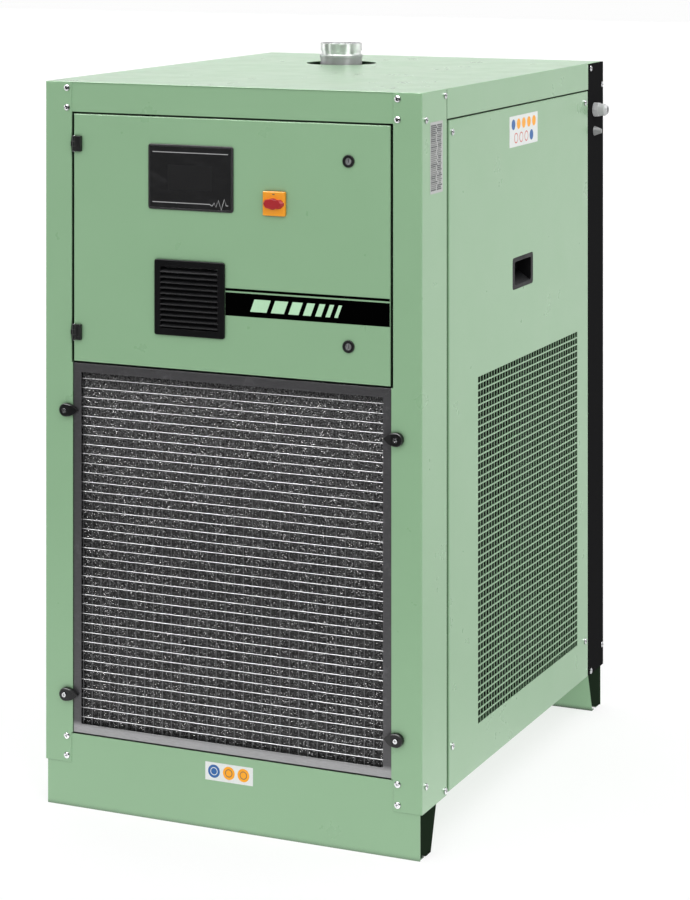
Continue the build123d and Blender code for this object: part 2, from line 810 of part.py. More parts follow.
# quarter-turn locks: a fixed barrel in the door and a turning spindle with a cam behind it
with BuildPart() as lock_housings:
    for z in lock_heights:
        disc((lock_x, front, z), (0, -1, 0), lock_flange_radius, 3)
        disc((lock_x, front, z), (0, 1, 0), lock_barrel_radius, 24)
        disc((lock_x, front + 3, z), (0, 1, 0), lock_flange_radius, 5)
        disc((lock_x, front - 4, z), (0, 1, 0), lock_spindle_radius + fit_gap, 32, mode=Mode.SUBTRACT)
lock_housings.part.label = "lock_housings"
export_step(lock_housings.part, "parts/lock_housings.step")

with BuildPart() as lock_cam_shape:
    disc((lock_x, front - 1.5, 0), (0, 1, 0), lock_spindle_radius, lock_cam_front - front + 1.5)
    disc((lock_x, lock_cam_front, 0), (0, 1, 0), 9, 2.5)
    block((lock_x - 9, lock_x + 9), (lock_cam_front, lock_cam_front + 2.5), (-lock_cam_reach, 0))
    with Locations((lock_x, front, 0)):
        Box(1.8, 6, 9, mode=Mode.SUBTRACT)

with BuildPart() as upper_lock_cam:
    add(lock_cam_shape.part.moved(Location((0, 0, lock_heights[1]))))
upper_lock_cam.part.label = "upper_lock_cam"
export_step(upper_lock_cam.part, "parts/upper_lock_cam.step")

with BuildPart() as lower_lock_cam:
    add(lock_cam_shape.part.moved(Location((0, 0, lock_heights[0]))))
lower_lock_cam.part.label = "lower_lock_cam"
export_step(lower_lock_cam.part, "parts/lower_lock_cam.step")

# strike plates on the right column that the turned cams reach behind
with BuildPart() as lock_strikes:
    for z in lock_heights:
        block((283, column_inner - rebate_lip), (rebate_back - sheet, rebate_back), (z - 22, z + 22))
lock_strikes.part.label = "lock_strikes"
export_step(lock_strikes.part, "parts/lock_strikes.step")

# display unit: bezel in front of the door, housing behind it, and a flush front lens
with BuildPart() as display_housing:
    with BuildSketch(Plane.XZ.offset(-front)):
        with Locations((middle(display_x), middle(display_z))):
            RectangleRounded(display_x[1] - display_x[0], display_z[1] - display_z[0], 5)
    extrude(amount=display_proud)
    chamfer(display_housing.faces().sort_by(Axis.Y)[0].edges(), length=0.8)
    block(
        (display_x[0] + 7, display_x[1] - 7),
        (front, front + 36),
        (display_z[0] + 7, display_z[1] - 7),
    )
    block(
        (display_x[0] + display_window, display_x[1] - display_window),
        (front - display_proud, front - display_proud + 1),
        (display_z[0] + display_window, display_z[1] - display_window),
        mode=Mode.SUBTRACT,
    )
display_housing.part.label = "display_housing"
export_step(display_housing.part, "parts/display_housing.step")

with BuildPart() as display_lens:
    block(
        (display_x[0] + display_window + 0.1, display_x[1] - display_window - 0.1),
        (front - display_proud + 0.1, front - display_proud + 1),
        (display_z[0] + display_window + 0.1, display_z[1] - display_window - 0.1),
    )
display_lens.part.label = "display_lens"
export_step(display_lens.part, "parts/display_lens.step")

# main switch: square plate with its contact block, and a red rotary handle
with BuildPart() as switch_plate:
    with BuildSketch(Plane.XZ.offset(-front)):
        with Locations((switch_x, switch_z)):
            RectangleRounded(switch_size, switch_size, 2)
    extrude(amount=switch_plate_thickness)
    chamfer(switch_plate.faces().sort_by(Axis.Y)[0].edges(), length=1.5)
    disc((switch_x, front, switch_z), (0, 1, 0), 11.5, 6)
    block((switch_x - 22, switch_x + 22), (front + 6, front + 46), (switch_z - 22, switch_z + 22))
    disc(
        (switch_x, front - switch_plate_thickness - 1, switch_z),
        (0, 1, 0),
        4 + fit_gap,
        14,
        mode=Mode.SUBTRACT,
    )
switch_plate.part.label = "switch_plate"
export_step(switch_plate.part, "parts/switch_plate.step")

with BuildPart() as switch_handle:
    handle_back = front - switch_plate_thickness - 0.3
    handle_plane = Plane(origin=(switch_x, handle_back, switch_z), x_dir=(1, 0, 0), z_dir=(0, -1, 0))
    grip_outline = (
        (-20, 0), (-16, 7), (-5, 9), (6, 7.5), (14, 8.5), (20, 2),
        (20, -2), (14, -8.5), (6, -7.5), (-5, -9), (-16, -7),
    )
    disc((switch_x, handle_back, switch_z), (0, -1, 0), switch_hub_radius, switch_grip_height - 2)
    for height, stretch in ((0, 1.1), (switch_grip_height, 0.85)):
        with BuildSketch(handle_plane.offset(height)):
            with BuildLine():
                Polyline([(stretch * x, y) for x, y in grip_outline], close=True)
            make_face()
    loft()
    disc((switch_x, handle_back, switch_z), (0, 1, 0), 4, 12)
switch_handle.part.label = "switch_handle"
export_step(switch_handle.part, "parts/switch_handle.step")

# cooling-air grille of the electrical compartment
with BuildPart() as vent_grille:
    vent_centre = (middle(vent_x), middle(vent_z))
    with BuildSketch(Plane.XZ.offset(-front)):
        with Locations(vent_centre):
            RectangleRounded(vent_x[1] - vent_x[0], vent_z[1] - vent_z[0], 4)
    extrude(amount=vent_proud)
    chamfer(vent_grille.faces().sort_by(Axis.Y)[0].edges(), length=1)
    vent_body_z = (vent_z[0] + 11, vent_z[1] - 11)
    block((vent_x[0] + 11, vent_x[1] - 11), (front, front + vent_frame_depth), vent_body_z)
    slat_zone = vent_slats * vent_slat_pitch + 4
    with BuildSketch(Plane.XZ.offset(-front - vent_frame_depth - 1)):
        with Locations(vent_centre):
            Rectangle(vent_slat_length, slat_zone)
    extrude(amount=vent_frame_depth + vent_proud + 2, mode=Mode.SUBTRACT)
    for row in range(vent_slats):
        slat_z = vent_centre[1] + (row - (vent_slats - 1) / 2) * vent_slat_pitch
        with Locations(Location((vent_centre[0], front - 0.8, slat_z), (vent_slat_tilt, 0, 0))):
            Box(vent_slat_length + 2, vent_slat_depth, 1.6)
vent_grille.part.label = "vent_grille"
export_step(vent_grille.part, "parts/vent_grille.step")

# printed stripe on the door: a thin line above a broad band
with BuildPart() as door_stripe:
    for low, high in ((969.9, 1013.4), (1016.6, 1021.4)):
        block((vent_x[1] + 1, door_half - 1), (front - 0.3, front), (low, high))
door_stripe.part.label = "door_stripe"
export_step(door_stripe.part, "parts/door_stripe.step")


# ---------------------------------------------------------------- plates and cable entries

with BuildPart() as rating_plate:
    block((right, right + 0.4), (front + 39, front + 100), (1211, 1343))
rating_plate.part.label = "rating_plate"
export_step(rating_plate.part, "parts/rating_plate.step")

with BuildPart() as information_labels:
    block((right, right + 0.3), (front + 453, front + 615), (1260, 1321.5))
    block((-48, 52), (recessed_front - 0.3, recessed_front), (91, 125))
information_labels.part.label = "information_labels"
export_step(information_labels.part, "parts/information_labels.step")

with BuildPart() as cable_gland:
    disc((right, gland_y, gland_z), (-1, 0, 0), gland_thread_radius, 12)
    disc((right, gland_y, gland_z), (1, 0, 0), 15, 3)
    with BuildSketch(Plane.YZ.offset(right + 3)):
        with Locations((gland_y, gland_z)):
            RegularPolygon(14, 6, major_radius=False)
    extrude(amount=8)
    disc((right + 11, gland_y, gland_z), (1, 0, 0), 13, 13)
    with Locations(Plane(origin=(right + 27, gland_y, gland_z), z_dir=(1, 0, 0))):
        Cone(13, 8.5, 6)
    disc((right - 13, gland_y, gland_z), (1, 0, 0), gland_bore, 45, mode=Mode.SUBTRACT)
cable_gland.part.label = "cable_gland"
export_step(cable_gland.part, "parts/cable_gland.step")

with BuildPart() as cable_plug:
    disc((right, gland_y, plug_z), (-1, 0, 0), plug_radius, 5)
    with Locations(Plane(origin=(right + 8, gland_y, plug_z), z_dir=(1, 0, 0))):
        Cone(10.5, 4.5, 16)
cable_plug.part.label = "cable_plug"
export_step(cable_plug.part, "parts/cable_plug.step")


# ---------------------------------------------------------------- electrical compartment

tray_x = (-330, 330)
tray_y = (-464, -260)
tray_z = (878, 1336)
tray_sheet = 2
tray_back = tray_y[1] - tray_sheet

rail_heights = {"upper": 1190, "lower": 1010}
rail_half_length = 280
rail_half_height = 13.5
rail_depth = 7.5
rail_sheet = 1
rail_lip = 4

gear_start = -250
gear_gap = 14
gear_depth = 70
gear_half_height = 42
gear_widths = {"upper": (45, 45, 54, 90), "lower": (54, 36, 36, 72, 90)}

with BuildPart() as electrical_tray:
    block(tray_x, (tray_back, tray_y[1]), tray_z)
    block(tray_x, tray_y, (tray_z[0], tray_z[0] + tray_sheet))
    block(tray_x, tray_y, (tray_z[1] - tray_sheet, tray_z[1]))
electrical_tray.part.label = "electrical_tray"
export_step(electrical_tray.part, "parts/electrical_tray.step")

# two hat-shaped mounting rails on the back of the tray
with BuildPart() as din_rails:
    rail_x = (-rail_half_length, rail_half_length)
    rail_front = tray_back - rail_depth
    for z in rail_heights.values():
        hollow = rail_half_height - rail_sheet
        block(rail_x, (rail_front, tray_back), (z - rail_half_height, z + rail_half_height))
        block(rail_x, (rail_front, tray_back - rail_sheet), (z - hollow, z + hollow), mode=Mode.SUBTRACT)
        for edge in (-1, 1):
            lip = tuple(sorted((z + edge * hollow, z + edge * (rail_half_height + rail_lip))))
            block(rail_x, (rail_front, rail_front + rail_sheet), lip)
din_rails.part.label = "din_rails"
export_step(din_rails.part, "parts/din_rails.step")

# contactors, breakers and terminal blocks clipped to the two rails
with BuildPart() as switchgear:
    gear_back = rail_front - 0.5
    for row, z in rail_heights.items():
        left = gear_start
        for gear_width in gear_widths[row]:
            block(
                (left, left + gear_width),
                (gear_back - gear_depth, gear_back),
                (z - gear_half_height, z + gear_half_height),
            )
            left += gear_width + gear_gap
switchgear.part.label = "switchgear"
export_step(switchgear.part, "parts/switchgear.step")


# ---------------------------------------------------------------- condenser and fan

condenser_half_width = 300
condenser_y = (-462, -392)
condenser_z = (165, 835)
bend_rows = 10
bend_row_pitch = 62
hairpin_radius = 16
hairpin_tube_radius = 5

fan_z = 500
shroud_half_width = 310
shroud_half_height = 335
shroud_sheet = 2
shroud_bore = 242
shroud_ring_length = 70
shroud_flange = 30

hub_radius = 70
hub_length = 44
hub_boss_radius = 18
hub_boss_length = 40
blade_count = 5
blade_length = 166
blade_chord = 78
blade_centre = 148
blade_pitch = 32
fan_shaft_radius = 8

motor_radius = 68
motor_length = 90
motor_arm_centre = 160
motor_arm_length = 200
motor_arm_width = 14
motor_foot_centre = 256

with BuildPart() as condenser_coil:
    block((-condenser_half_width, condenser_half_width), condenser_y, condenser_z)
condenser_coil.part.label = "condenser_coil"
export_step(condenser_coil.part, "parts/condenser_coil.step")

# hairpin bends at both ends of the coil
with BuildPart() as condenser_bends:
    bend_planes = [
        Plane(
            origin=(side * condenser_half_width, y, condenser_z[0] + 52 + row * bend_row_pitch),
            x_dir=(0, 0, side),
            z_dir=(0, 1, 0),
        )
        for side in (-1, 1)
        for row in range(bend_rows)
        for y in (condenser_y[0] + 18, condenser_y[1] - 18)
    ]
    with Locations(*bend_planes):
        Torus(hairpin_radius, hairpin_tube_radius, major_angle=180, align=None)
condenser_bends.part.label = "condenser_bends"
export_step(condenser_bends.part, "parts/condenser_bends.step")

with BuildPart() as fan_shroud:
    with BuildSketch(Plane.XZ.offset(-condenser_y[1])):
        with Locations((0, fan_z)):
            Rectangle(2 * shroud_half_width, 2 * shroud_half_height)
            Circle(shroud_bore, mode=Mode.SUBTRACT)
    extrude(amount=-shroud_sheet)
    with BuildSketch(Plane.XZ.offset(-condenser_y[1])):
        with Locations((0, fan_z)):
            Circle(shroud_bore + shroud_sheet)
            Circle(shroud_bore, mode=Mode.SUBTRACT)
    extrude(amount=-shroud_ring_length)
    for edge in (-1, 1):
        flange = tuple(sorted((edge * (shroud_half_width - shroud_sheet), edge * shroud_half_width)))
        block(
            flange,
            (condenser_y[1], condenser_y[1] + shroud_flange),
            (fan_z - shroud_half_height, fan_z + shroud_half_height),
        )
fan_shroud.part.label = "fan_shroud"
export_step(fan_shroud.part, "parts/fan_shroud.step")

# axial fan: five pitched blades on a hub
with BuildPart() as fan_impeller:
    hub_y = condenser_y[1] + 14
    disc((0, hub_y, fan_z), (0, 1, 0), hub_radius, hub_length)
    disc((0, hub_y + 3, fan_z), (0, 1, 0), hub_radius - 8, hub_length + 6, mode=Mode.SUBTRACT)
    disc((0, hub_y, fan_z), (0, 1, 0), hub_boss_radius, hub_boss_length)
    with Locations(Plane(origin=(0, hub_y + hub_length / 2, fan_z), x_dir=(1, 0, 0), z_dir=(0, 1, 0))):
        with PolarLocations(0, blade_count):
            with Locations(Location((blade_centre, 0, 0), (blade_pitch, 0, 0))):
                Box(blade_length, blade_chord, 3)
    disc((0, hub_y - 5, fan_z), (0, 1, 0), fan_shaft_radius + fit_gap, hub_length + 16, mode=Mode.SUBTRACT)
fan_impeller.part.label = "fan_impeller"
export_step(fan_impeller.part, "parts/fan_impeller.step")

# external motor on three arms that reach the shroud
with BuildPart() as fan_motor:
    motor_front = condenser_y[1] + 74
    disc((0, motor_front, fan_z), (0, 1, 0), motor_radius, motor_length)
    disc((0, motor_front, fan_z), (0, -1, 0), fan_shaft_radius, 54)
    with Locations(Plane(origin=(0, motor_front + 20, fan_z), x_dir=(1, 0, 0), z_dir=(0, 1, 0))):
        with PolarLocations(motor_arm_centre, 3, start_angle=90):
            Box(motor_arm_length, motor_arm_width, 4)
    foot_span = (condenser_y[1] + shroud_sheet, motor_front + 22)
    with Locations(Plane(origin=(0, middle(foot_span), fan_z), x_dir=(1, 0, 0), z_dir=(0, 1, 0))):
        with PolarLocations(motor_foot_centre, 3, start_angle=90):
            Box(8, motor_arm_width, foot_span[1] - foot_span[0])
fan_motor.part.label = "fan_motor"
export_step(fan_motor.part, "parts/fan_motor.step")


# ---------------------------------------------------------------- refrigeration and air circuit

base_top = base_height + 2
compressor_x = 120
compressor_y = 60
compressor_radius = 118
shell_low = base_top + 34
shell_high = base_top + 420
compressor_foot = (250, 190, 8)
compressor_bolts = (216, 156)
grommet_radius = 16

# hermetic compressor: domed shell with a seam flange, a foot plate and a terminal box
with BuildPart() as compressor:
    shell_side = compressor_x + compressor_radius
    dome_start = shell_high - 80
    bowl_end = shell_low + 50
    with BuildSketch(Plane.XZ.offset(-compressor_y)):
        with BuildLine():
            Line((compressor_x, shell_low), (shell_side - 58, shell_low))
            Spline((shell_side - 58, shell_low), (shell_side, bowl_end), tangents=((1, 0), (0, 1)))
            Line((shell_side, bowl_end), (shell_side, dome_start))
            Spline((shell_side, dome_start), (compressor_x, shell_high), tangents=((0, 1), (-1, 0)))
            Line((compressor_x, shell_high), (compressor_x, shell_low))
        make_face()
    revolve(axis=Axis((compressor_x, compressor_y, 0), (0, 0, 1)))
    disc((compressor_x, compressor_y, shell_high - 150), (0, 0, 1), compressor_radius + 4, 10)
    with Locations((compressor_x, compressor_y, shell_low + compressor_foot[2] / 2)):
        Box(*compressor_foot)
    block((compressor_x - 40, compressor_x + 40), (compressor_y - 160, compressor_y - 100), (300, 400))
    bolt_reach_x, bolt_reach_y = compressor_bolts[0] / 2, compressor_bolts[1] / 2
    bolt_points = [
        (compressor_x + side * bolt_reach_x, compressor_y + end * bolt_reach_y, shell_low)
        for side in (-1, 1)
        for end in (-1, 1)
    ]
    punch(bolt_points, (0, 0, 1), radius=7, reach=compressor_foot[2] + 2)
compressor.part.label = "compressor"
export_step(compressor.part, "parts/compressor.step")

with BuildPart() as compressor_grommets:
    with Locations((compressor_x, compressor_y, (base_top + shell_low) / 2)):
        with GridLocations(*compressor_bolts, 2, 2):
            Cylinder(grommet_radius, shell_low - base_top)
compressor_grommets.part.label = "compressor_grommets"
export_step(compressor_grommets.part, "parts/compressor_grommets.step")

# plate heat exchanger with built-in water separator, wrapped in a foam jacket
exchanger_x = (-215, 165)
exchanger_y = (100, 340)
exchanger_z = (640, 1180)
exchanger_wall = 12
jacket = 22
separator_x = -60
separator_y = 220
separator_radius = 55

with BuildPart() as heat_exchanger:
    block(exchanger_x, exchanger_y, exchanger_z)
    fillet(heat_exchanger.edges().filter_by(Axis.Z), radius=20)
    disc((separator_x, separator_y, exchanger_z[0] + 1), (0, 0, -1), separator_radius, 150)
    block(
        (exchanger_x[0] + exchanger_wall, exchanger_x[1] - exchanger_wall),
        (exchanger_y[0] + exchanger_wall, exchanger_y[1] - exchanger_wall),
        (exchanger_z[0] + exchanger_wall, exchanger_z[1] - exchanger_wall),
        mode=Mode.SUBTRACT,
    )
    port_radius = pipe_radius - pipe_wall
    disc((inlet_x, inlet_y, exchanger_z[1] - 20), (0, 0, 1), port_radius, 25, mode=Mode.SUBTRACT)
    disc((outlet_x, exchanger_y[1] - 20, outlet_z), (0, 1, 0), port_radius, 25, mode=Mode.SUBTRACT)
heat_exchanger.part.label = "heat_exchanger"
export_step(heat_exchanger.part, "parts/heat_exchanger.step")

with BuildPart() as exchanger_jacket:
    block(
        (exchanger_x[0] - jacket, exchanger_x[1] + jacket),
        (exchanger_y[0] - jacket, exchanger_y[1] + jacket),
        (exchanger_z[0] - jacket, exchanger_z[1] + jacket),
    )
    fillet(exchanger_jacket.edges().filter_by(Axis.Z), radius=26)
    block(
        (exchanger_x[0] - 0.5, exchanger_x[1] + 0.5),
        (exchanger_y[0] - 0.5, exchanger_y[1] + 0.5),
        (exchanger_z[0] - 0.5, exchanger_z[1] + 0.5),
        mode=Mode.SUBTRACT,
    )
    disc(
        (separator_x, separator_y, exchanger_z[0] + 5),
        (0, 0, -1),
        separator_radius + 2,
        60,
        mode=Mode.SUBTRACT,
    )
    disc((inlet_x, inlet_y, exchanger_z[1] - 5), (0, 0, 1), pipe_radius + 2, 60, mode=Mode.SUBTRACT)
    disc((outlet_x, exchanger_y[1] - 5, outlet_z), (0, 1, 0), pipe_radius + 2, 60, mode=Mode.SUBTRACT)
exchanger_jacket.part.label = "exchanger_jacket"
export_step(exchanger_jacket.part, "parts/exchanger_jacket.step")

with BuildPart() as air_inlet_pipe:
    grooved_pipe(
        (inlet_x, inlet_y, exchanger_z[1]),
        (0, 0, 1),
        roof_height + roof_stub_height - exchanger_z[1],
    )
    collar_top = roof_height + roof_stub_height - groove_seat - groove_width - 1
    with BuildSketch(Plane.XY.offset(collar_top)):
        with Locations((inlet_x, inlet_y)):
            Circle(stub_collar_radius)
            Circle(pipe_radius - 1, mode=Mode.SUBTRACT)
    extrude(amount=-stub_collar_length)
air_inlet_pipe.part.label = "air_inlet_pipe"
export_step(air_inlet_pipe.part, "parts/air_inlet_pipe.step")

with BuildPart() as air_outlet_pipe:
    grooved_pipe((outlet_x, exchanger_y[1], outlet_z), (0, 1, 0), rear + roof_stub_height - exchanger_y[1])
air_outlet_pipe.part.label = "air_outlet_pipe"
export_step(air_outlet_pipe.part, "parts/air_outlet_pipe.step")

# vertical liquid receiver near the right side panel
receiver_x = 310
receiver_y = 120
receiver_radius = 52
receiver_height = 300
receiver_foot_radius = 30

with BuildPart() as liquid_receiver:
    disc((receiver_x, receiver_y, base_top + 40), (0, 0, 1), receiver_radius, receiver_height)
    fillet(liquid_receiver.edges().filter_by(GeomType.CIRCLE), radius=24)
    disc((receiver_x, receiver_y, base_top), (0, 0, 1), receiver_foot_radius, 44)
liquid_receiver.part.label = "liquid_receiver"
export_step(liquid_receiver.part, "parts/liquid_receiver.step")

# insulated suction line from the exchanger down to the compressor
suction_radius = 19
suction_start_z = 760
suction_end_z = 230
suction_column_x = 315

with BuildPart() as suction_line:
    with BuildLine() as suction_path:
        FilletPolyline(
            (exchanger_x[1] + jacket + 0.5, 200, suction_start_z),
            (suction_column_x, 200, suction_start_z),
            (suction_column_x, 250, suction_end_z),
            (compressor_x + compressor_radius + 5, compressor_y + 90, suction_end_z),
            radius=2 * suction_radius,
        )
    with BuildSketch(Plane(origin=suction_path.line @ 0, z_dir=suction_path.line % 0)):
        Circle(suction_radius)
    sweep()
suction_line.part.label = "suction_line"
export_step(suction_line.part, "parts/suction_line.step")

# discharge line from the top of the compressor to the condenser
discharge_radius = 8
discharge_z = shell_high + 50
discharge_side_x = 355
discharge_end_z = 790

with BuildPart() as discharge_line:
    with BuildLine() as discharge_path:
        FilletPolyline(
            (compressor_x, compressor_y, shell_high + 0.5),
            (compressor_x, compressor_y, discharge_z),
            (discharge_side_x, compressor_y, discharge_z),
            (discharge_side_x, middle(condenser_y), discharge_z),
            (discharge_side_x, middle(condenser_y), discharge_end_z),
            (condenser_half_width + 0.5, middle(condenser_y), discharge_end_z),
            radius=22,
        )
    with BuildSketch(Plane(origin=discharge_path.line @ 0, z_dir=discharge_path.line % 0)):
        Circle(discharge_radius)
    sweep()
discharge_line.part.label = "discharge_line"
export_step(discharge_line.part, "parts/discharge_line.step")

# electronic condensate drain under the separator, with its outlet tube through the rear cover
drain_body_x = (-110, -10)
drain_body_y = (separator_y - 45, separator_y + 45)
drain_body_z = (400, 488)
drain_port_z = 440

with BuildPart() as condensate_drain:
    block(drain_body_x, drain_body_y, drain_body_z)
    fillet(condensate_drain.edges(), radius=8)
    with BuildLine() as drain_path:
        FilletPolyline(
            (drain_body_x[0] - 2, separator_y, drain_port_z),
            (drain_x, separator_y, drain_port_z),
            (drain_x, separator_y, drain_z),
            (drain_x, drain_end, drain_z),
            radius=25,
        )
    with BuildSketch(Plane(origin=drain_path.line @ 0, z_dir=drain_path.line % 0)):
        Circle(drain_tube_radius)
    sweep()
    disc((drain_body_x[0] + 4, separator_y, drain_port_z), (-1, 0, 0), drain_tube_radius + 3, 14)
    disc((drain_x, drain_end - drain_spigot, drain_z), (0, -1, 0), drain_tube_radius + 2, 3)
condensate_drain.part.label = "condensate_drain"
export_step(condensate_drain.part, "parts/condensate_drain.step")
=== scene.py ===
"""Looks of the refrigerated air dryer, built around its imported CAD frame.

Metres, in the frame of the CAD model: front towards -Y, right side towards +X, floor at Z = 0.
"""

import math
import random

import bmesh
import bpy
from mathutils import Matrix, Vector, noise


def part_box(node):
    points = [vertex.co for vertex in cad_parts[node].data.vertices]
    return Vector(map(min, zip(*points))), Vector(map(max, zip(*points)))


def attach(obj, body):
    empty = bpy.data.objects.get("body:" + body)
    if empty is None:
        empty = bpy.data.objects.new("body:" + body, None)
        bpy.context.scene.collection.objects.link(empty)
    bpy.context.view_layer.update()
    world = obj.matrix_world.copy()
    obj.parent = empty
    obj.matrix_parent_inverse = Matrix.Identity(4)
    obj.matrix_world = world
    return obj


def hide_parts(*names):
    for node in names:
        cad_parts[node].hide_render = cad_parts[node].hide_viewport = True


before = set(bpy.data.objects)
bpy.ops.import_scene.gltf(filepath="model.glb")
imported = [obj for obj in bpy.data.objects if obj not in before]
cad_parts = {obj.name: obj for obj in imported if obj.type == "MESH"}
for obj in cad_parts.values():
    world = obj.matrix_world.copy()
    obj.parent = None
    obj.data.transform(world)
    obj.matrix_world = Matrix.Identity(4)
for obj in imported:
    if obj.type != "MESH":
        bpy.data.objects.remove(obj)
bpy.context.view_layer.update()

MM = 0.001


# ---------------------------------------------------------------- places taken from the frame

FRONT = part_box("left_front_column")[0].y
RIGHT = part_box("right_front_column")[1].x
KICK_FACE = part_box("front_kick_plate")[0].y


# ---------------------------------------------------------------- node-material builder


class Shade:
    """One node material with a Principled surface, and short calls for the nodes that feed it."""

    def __init__(self, name):
        self.material = bpy.data.materials.new(name)
        self.material.use_nodes = True
        self.tree = self.material.node_tree
        self.tree.nodes.clear()
        self.output = self.add("ShaderNodeOutputMaterial")
        self.surface = self.add("ShaderNodeBsdfPrincipled")
        self.join(self.output.inputs["Surface"], self.surface.outputs["BSDF"])
        self.place = self.add("ShaderNodeTexCoord").outputs["Object"]

    def add(self, kind, **settings):
        node = self.tree.nodes.new(kind)
        for key, value in settings.items():
            setattr(node, key, value)
        return node

    def join(self, socket, value):
        """Link a socket to another, or set it to a number or a colour."""
        if isinstance(value, bpy.types.NodeSocket):
            self.tree.links.new(value, socket)
        elif isinstance(value, tuple) and len(socket.default_value) == 4:
            socket.default_value = (*value, 1)
        else:
            socket.default_value = value

    def use(self, **values):
        """Feed named inputs of the surface; underscores stand for spaces."""
        for key, value in values.items():
            self.join(self.surface.inputs[key.replace("_", " ")], value)

    def stretched(self, scale):
        node = self.add("ShaderNodeMapping")
        self.join(node.inputs["Vector"], self.place)
        node.inputs["Scale"].default_value = scale
        return node.outputs["Vector"]

    def noise(self, scale, detail=3.0, rough=0.55, stretch=(1, 1, 1), distort=0.0):
        node = self.add("ShaderNodeTexNoise")
        self.join(node.inputs["Vector"], self.stretched(stretch))
        node.inputs["Scale"].default_value = scale
        node.inputs["Detail"].default_value = detail
        node.inputs["Roughness"].default_value = rough
        node.inputs["Distortion"].default_value = distort
        return node.outputs["Fac"]

    def cells(self, scale, output="Distance"):
        node = self.add("ShaderNodeTexVoronoi")
        self.join(node.inputs["Vector"], self.place)
        node.inputs["Scale"].default_value = scale
        return node.outputs[output]

    def range(self, value, low, high, to_low=0.0, to_high=1.0):
        node = self.add("ShaderNodeMapRange")
        self.join(node.inputs["Value"], value)
        node.inputs["From Min"].default_value = low
        node.inputs["From Max"].default_value = high
        node.inputs["To Min"].default_value = to_low
        node.inputs["To Max"].default_value = to_high
        return node.outputs["Result"]

    def sum(self, first, second, operation="ADD"):
        node = self.add("ShaderNodeMath", operation=operation)
        self.join(node.inputs[0], first)
        self.join(node.inputs[1], second)
        return node.outputs["Value"]

    def mix(self, amount, first, second):
        node = self.add("ShaderNodeMix", data_type="RGBA")
        self.join(node.inputs["Factor"], amount)
        colour_a, colour_b = [s for s in node.inputs if s.type == "RGBA"]
        self.join(colour_a, first)
        self.join(colour_b, second)
        return [s for s in node.outputs if s.type == "RGBA"][0]

    def mix_value(self, amount, first, second):
        """Number between two others."""
        node = self.add("ShaderNodeMix", data_type="FLOAT")
        self.join(node.inputs["Factor"], amount)
        value_a, value_b = [s for s in node.inputs if s.type == "VALUE" and s.name in "AB"]
        self.join(value_a, first)
        self.join(value_b, second)
        return [s for s in node.outputs if s.type == "VALUE"][0]

    def axis(self, name):
        node = self.add("ShaderNodeSeparateXYZ")
        self.join(node.inputs["Vector"], self.place)
        return node.outputs[name]

    def round_edges(self, radius):
        """Normal with edges rounded to the radius, for highlights along sheet and moulding edges."""
        node = self.add("ShaderNodeBevel", samples=4)
        node.inputs["Radius"].default_value = radius
        return node.outputs["Normal"]

    def edge_mask(self, radius):
        """1 on edges and 0 on flats, from how far the rounded normal leans away."""
        true_normal = self.add("ShaderNodeNewGeometry").outputs["True Normal"]
        node = self.add("ShaderNodeVectorMath", operation="DOT_PRODUCT")
        self.join(node.inputs[0], self.round_edges(radius))
        self.join(node.inputs[1], true_normal)
        return self.range(node.outputs["Value"], 0.98, 0.75)

    def painted_shade_mask(self, reach, closed=0.3, open_=0.75):
        """0 deep inside narrow gaps and 1 on open surfaces; used as the mask for painted shade in gaps and
        crevices.
        """
        node = self.add("ShaderNodeAmbientOcclusion", samples=6)
        node.inputs["Distance"].default_value = reach
        return self.range(node.outputs["AO"], closed, open_)

    def bump(self, height, strength, distance, normal=None):
        node = self.add("ShaderNodeBump")
        self.join(node.inputs["Height"], height)
        node.inputs["Strength"].default_value = strength
        node.inputs["Distance"].default_value = distance
        if normal is not None:
            self.join(node.inputs["Normal"], normal)
        self.use(Normal=node.outputs["Normal"])


def shade_of(colour, factor):
    """The colour made lighter or darker."""
    return tuple(min(1.0, channel * factor) for channel in colour)


# ---------------------------------------------------------------- materials


def powder_coat(name, colour, roughness, peel, sheen=0.5):
    """Powder coat: fine orange peel, faint clouds, lighter edges (partly wear, partly a painted
    highlight along the bends) and painted shade in and near gaps. Seen at a very flat angle it
    loses colour and mirrors more."""
    s = Shade(name)
    clouds = s.range(s.noise(3.5, detail=4), 0.3, 0.7)
    base = s.mix(clouds, shade_of(colour, 0.985), shade_of(colour, 1.012))
    # Lighter edges: partly wear, partly a painted highlight where the sheet bends.
    edge_lightening = s.sum(s.edge_mask(0.0012), s.range(s.noise(60, detail=5), 0.35, 0.7, 0.1, 0.5), "MULTIPLY")
    base = s.mix(edge_lightening, base, shade_of(colour, 1.45))
    # Painted shade: the colour goes near-black deep in gaps and close beside other parts.
    gap_shade = s.painted_shade_mask(0.014)
    base = s.mix(gap_shade, shade_of(colour, 0.02), base)
    grazing = s.range(s.add("ShaderNodeLayerWeight").outputs["Facing"], 0.8, 0.93)
    base = s.mix(grazing, base, shade_of(colour, 0.5))
    s.use(
        Base_Color=base,
        Roughness=s.range(s.noise(14, detail=4), 0.3, 0.7, roughness - 0.03, roughness + 0.04),
        Specular_IOR_Level=s.range(grazing, 0, 1, sheen, 1.6 * sheen),
    )
    s.bump(s.noise(520, detail=2), peel, 0.0002, s.round_edges(0.0011))
    return s.material


def galvanised_sheet(name, light, dark, roughness=0.38):
    """Zinc coat with its spangle: angular patches of different brightness."""
    s = Shade(name)
    patch = s.cells(95, output="Color")
    bright = s.add("ShaderNodeSeparateColor")
    s.join(bright.inputs["Color"], patch)
    base = s.mix(s.range(bright.outputs["Red"], 0, 1, 0.15, 0.85), dark, light)
    s.use(
        Base_Color=base,
        Metallic=0.9,
        Roughness=s.range(bright.outputs["Green"], 0, 1, roughness - 0.08, roughness + 0.1),
    )
    s.bump(s.noise(240, detail=3), 0.12, 0.0002, s.round_edges(0.0008))
    return s.material


